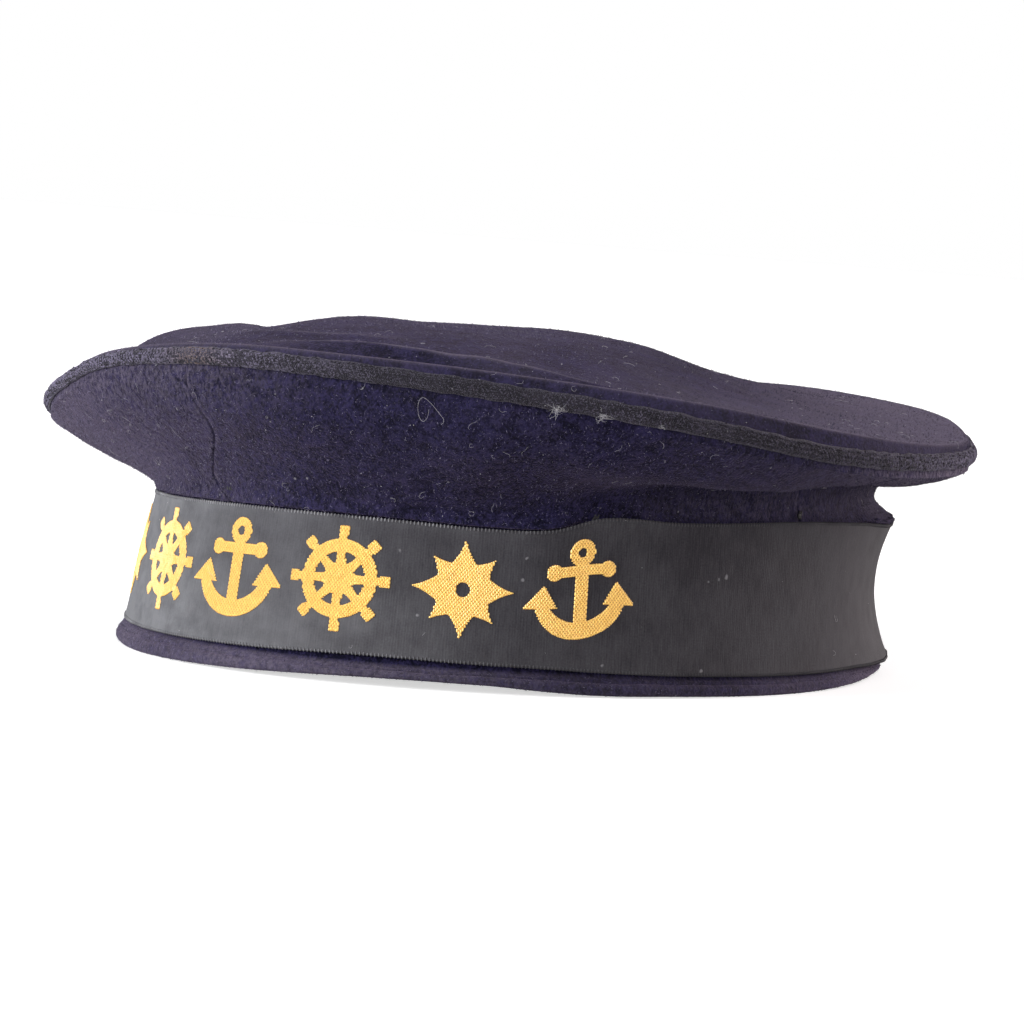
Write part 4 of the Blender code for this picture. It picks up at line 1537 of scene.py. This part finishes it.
def side_point(angle, place):
    """A point on the quarters, at a place from the band (0) to the rim (1), and its ways out and up."""
    angles = np.array([angle - 0.5, angle, angle + 0.5])
    profile = side_profile(angles, np.linspace(0, 1, 60))
    skin = at(angles[:, None], profile[..., 0], profile[..., 1])
    row = round(1 + place * 59)
    return skin[1, row], normals_of(skin)[1, row], unit(skin[1, row + 1] - skin[1, row])


def curled_thread():
    """The one long thread that hangs in a loop from under the braid."""
    here, out, up = side_point(27.8, 0.93)
    t = np.linspace(0, 1, 60)
    across = 1.3 * np.cos(3 * math.pi * t) * (1 - 0.3 * t) + 5.0 * eased(t, 0.5, 0.9) - 1.5
    down = 3.2 * np.sin(3 * math.pi * t) * (1 - 0.45 * t) + 1.0 + 3.0 * eased(t, 0.8, 1.0)
    return here - across[:, None] * np.cross(out, up) - down[:, None] * up + 0.35 * out


# Tufts of fluff caught on the braid: where round the cap and across the braid, how big, and how many threads.
FLUFF = rows_of(
    "angle across size threads", (42.2, -0.8, 1.0, 38), (47.2, -0.6, 0.9, 30), (54.4, -0.7, 0.6, 8)
)


class CAP_OT_lint(bpy.types.Operator):
    """Scatters stray pale threads, flecks and fluff over the cloth."""

    bl_idname = "cap.lint"
    bl_label = "Lint"

    def execute(self, context):
        rng = np.random.default_rng(81)
        count = context.scene.cap_sizes.lint_count
        grids = [(top_skin()[0], 0.42), (ribbon_skin()[1], 0.06)]
        grids += [(quarter_skin(index)[0], 0.13) for index in range(len(QUARTERS))]
        threads, flecks = [], []
        for grid, share in grids:
            here, out, _ = sample(grid, round(count * share), rng)
            for point, way in zip(here, out):
                path = stray_thread(point, way, rng, rng.uniform(*LINT_LENGTHS), 0.45)
                threads.append(tube(path, rng.uniform(*LINT_RADII)))
            flecks.append(sample(grid, round(count * share * 1.6), rng)[:2])
        threads.append(tube(curled_thread(), CURL_RADIUS))
        for tuft in FLUFF:
            middle = tape_face(np.array(tuft.angle), np.array(tuft.across))
            for _ in range(tuft.threads):
                start = middle + rng.normal(0, 0.3 * tuft.size, 3) + at(tuft.angle, 0.4, 0.0)
                path = stray_thread(start, unit(rng.normal(size=3)), rng, 3.0 * tuft.size, 0.6)
                threads.append(tube(path, FLUFF_RADIUS))
        lint = thread_material("lint_thread", "lint", "lint_shade", Roughness=0.8)
        finish_piece("lint_threads", join_shapes(threads), lint, "navy_wool", tone=1.0)
        here, out = (np.concatenate(parts) for parts in zip(*flecks))
        ahead = unit(np.cross(out, rng.normal(size=out.shape)))
        size = rng.uniform(*FLECK_SIZES, (len(here), 1))
        size = size * rng.choice([1.0, 1.6], (len(here), 1), p=[0.85, 0.15])
        frames = np.stack([ahead * size, np.cross(out, ahead) * size * 1.6, out * size * 0.7], 1)
        specks = spread(bead_shape(5, 2), here + out * 0.1, frames)
        finish_piece("lint_flecks", specks, lint, "navy_wool", tone=1.0)
        return {"FINISHED"}


# Where thread shows at the foot of the crown: the angle, and how many short stitches.
TACKS = rows_of("angle stitches", (-3.5, 5), (6.8, 3), (50.5, 4), (91.5, 4), (180.0, 5), (268.0, 5))


class CAP_OT_tacks(bpy.types.Operator):
    """Sews the dark tacks that hold the crown to the headband."""

    bl_idname = "cap.tacks"
    bl_label = "Tacks"

    def execute(self, context):
        rng = np.random.default_rng(91)
        centres, frames = [], []
        for tack in TACKS:
            for stitch in range(tack.stitches):
                off = (stitch - (tack.stitches - 1) / 2) * STITCH_STEP
                here, out, up = side_point(tack.angle + off + rng.normal(0, 0.05), 0.10 + 0.02 * (stitch % 2))
                way = unit(up + np.cross(up, out) * rng.normal(0, 0.25))
                centres.append(here + out * 0.15)
                across = np.cross(way, out)
                frames.append(np.stack([across * STITCH_WIDTH, way * STITCH_LENGTH, out * STITCH_WIDTH]))
        thread = thread_material("tack_thread", "tack", "tack_shade", way=(1, 1, 0.4), Roughness=0.6)
        stitches = spread(bead_shape(6, 4), np.array(centres), np.array(frames))
        finish_piece("seam_tacks", stitches, thread, "navy_wool", tone=1.0)
        return {"FINISHED"}


def grey(level):
    return (level, level, level, 1)


def link_new(name, data):
    """A new object in the scene that holds some data."""
    made = bpy.data.objects.new(name, data)
    bpy.context.scene.collection.objects.link(made)
    return made


class CAP_OT_stage(bpy.types.Operator):
    """Sets the pale floor, the soft studio light and the camera."""

    bl_idname = "cap.stage"
    bl_label = "Stage"

    def execute(self, context):
        scene = context.scene
        mesh = bpy.data.meshes.new("stage_floor")
        corners = [(FLOOR_HALF * x, FLOOR_HALF * y, 0) for x, y in ((-1, -1), (1, -1), (1, 1), (-1, 1))]
        mesh.from_pydata(corners, [], [(0, 1, 2, 3)])
        material, tree, shader = new_material("stage_pale", Roughness=0.9, Emission_Strength=1.0)
        seen = source(tree, "ShaderNodeLightPath", "Is Camera Ray")
        pale = (place_in(tree).grain(3.0) * 0.25).between(colour("floor"), grey(0.9))
        seen.between(grey(0.65), pale).feed(shader.inputs["Base Color"])
        seen.between(grey(0), grey(0.62)).feed(shader.inputs["Emission Color"])
        mesh.materials.append(material)
        floor = link_new("stage_floor", mesh)

        world = bpy.data.worlds.new("stage_world")
        world.use_nodes = True
        tree = world.node_tree
        dim = tree.nodes["Background"]
        dim.inputs["Color"].default_value = (0.97, 0.98, 1.0, 1)
        dim.inputs["Strength"].default_value = 0.16
        white = source(tree, "ShaderNodeBackground", 0, {"Color": grey(1), "Strength": 1.0})
        ray = source(tree, "ShaderNodeLightPath", "Is Camera Ray")
        both = source(tree, "ShaderNodeMixShader", 0, {0: ray, 1: Value(tree, dim.outputs[0]), 2: white})
        both.feed(tree.nodes["World Output"].inputs["Surface"])
        scene.world = world
        scene.view_settings.view_transform = "Standard"

        for lamp in LAMPS:
            light = bpy.data.lights.new(f"stage_{lamp.name}", "SUN")
            light.angle = math.radians(lamp.spread)
            light.energy = lamp.power * math.pi
            light.color = lamp.tint
            way = way_towards(VIEW_AZIMUTH + lamp.beside, lamp.above)
            holder = link_new(f"stage_{lamp.name}", light)
            holder.location = way * LAMP_DISTANCE
            holder.rotation_euler = way.to_track_quat("Z", "Y").to_euler()

        back = way_towards(VIEW_AZIMUTH, VIEW_ELEVATION)
        right = way_towards(VIEW_AZIMUTH + 90, 0)
        target = right * VIEW_RIGHT + Vector((0, 0, VIEW_HEIGHT))
        camera = link_new("stage_camera", bpy.data.cameras.new("stage_camera"))
        upright = Matrix((right, back.cross(right), back)).transposed().to_4x4()
        roll = Matrix.Rotation(math.radians(VIEW_ROLL), 4, "Z")
        camera.matrix_world = Matrix.Translation(target + back * VIEW_DISTANCE) @ upright @ roll
        camera.data.lens = VIEW_LENS
        camera.data.sensor_width = 36.0
        scene.camera = camera
        return {"FINISHED"}


class CAP_OT_declare(bpy.types.Operator):
    """Works out the ribbon's length along the band, and does nothing more with it."""

    bl_idname = "cap.declare"
    bl_label = "Declare cloth"

    def execute(self, context):
        _, along = ribbon_length()
        return {"FINISHED"}


class CAP_PT_panel(bpy.types.Panel):
    """Lists the cap's pieces in the sidebar."""

    bl_idname = "CAP_PT_panel"
    bl_label = "Sailor cap"
    bl_space_type = "VIEW_3D"
    bl_region_type = "UI"
    bl_category = "Cap"

    def draw(self, context):
        for operator in OPERATORS:
            self.layout.operator(operator.bl_idname)
        for group in (context.scene.cap_sizes, context.scene.cap_colours):
            box = self.layout.box()
            for name in group.__annotations__:
                box.prop(group, name)


OPERATORS = (
    CAP_OT_stage,
    CAP_OT_crown_top,
    CAP_OT_quarters,
    CAP_OT_edge_tape,
    CAP_OT_headband,
    CAP_OT_ribbon,
    CAP_OT_motifs,
    CAP_OT_nap,
    CAP_OT_lint,
    CAP_OT_tacks,
    CAP_OT_declare,
)
CLASSES = (CAP_PG_sizes, CAP_PG_colours, *OPERATORS, CAP_PT_panel)


def register():
    for item in CLASSES:
        bpy.utils.register_class(item)
    bpy.types.Scene.cap_sizes = bpy.props.PointerProperty(type=CAP_PG_sizes)
    bpy.types.Scene.cap_colours = bpy.props.PointerProperty(type=CAP_PG_colours)


def unregister():
    del bpy.types.Scene.cap_colours
    del bpy.types.Scene.cap_sizes
    for item in reversed(CLASSES):
        bpy.utils.unregister_class(item)


def main():
    register()
    for operator in OPERATORS:
        group, name = operator.bl_idname.split(".")
        getattr(getattr(bpy.ops, group), name)()


if __name__ == "__main__":
    main()
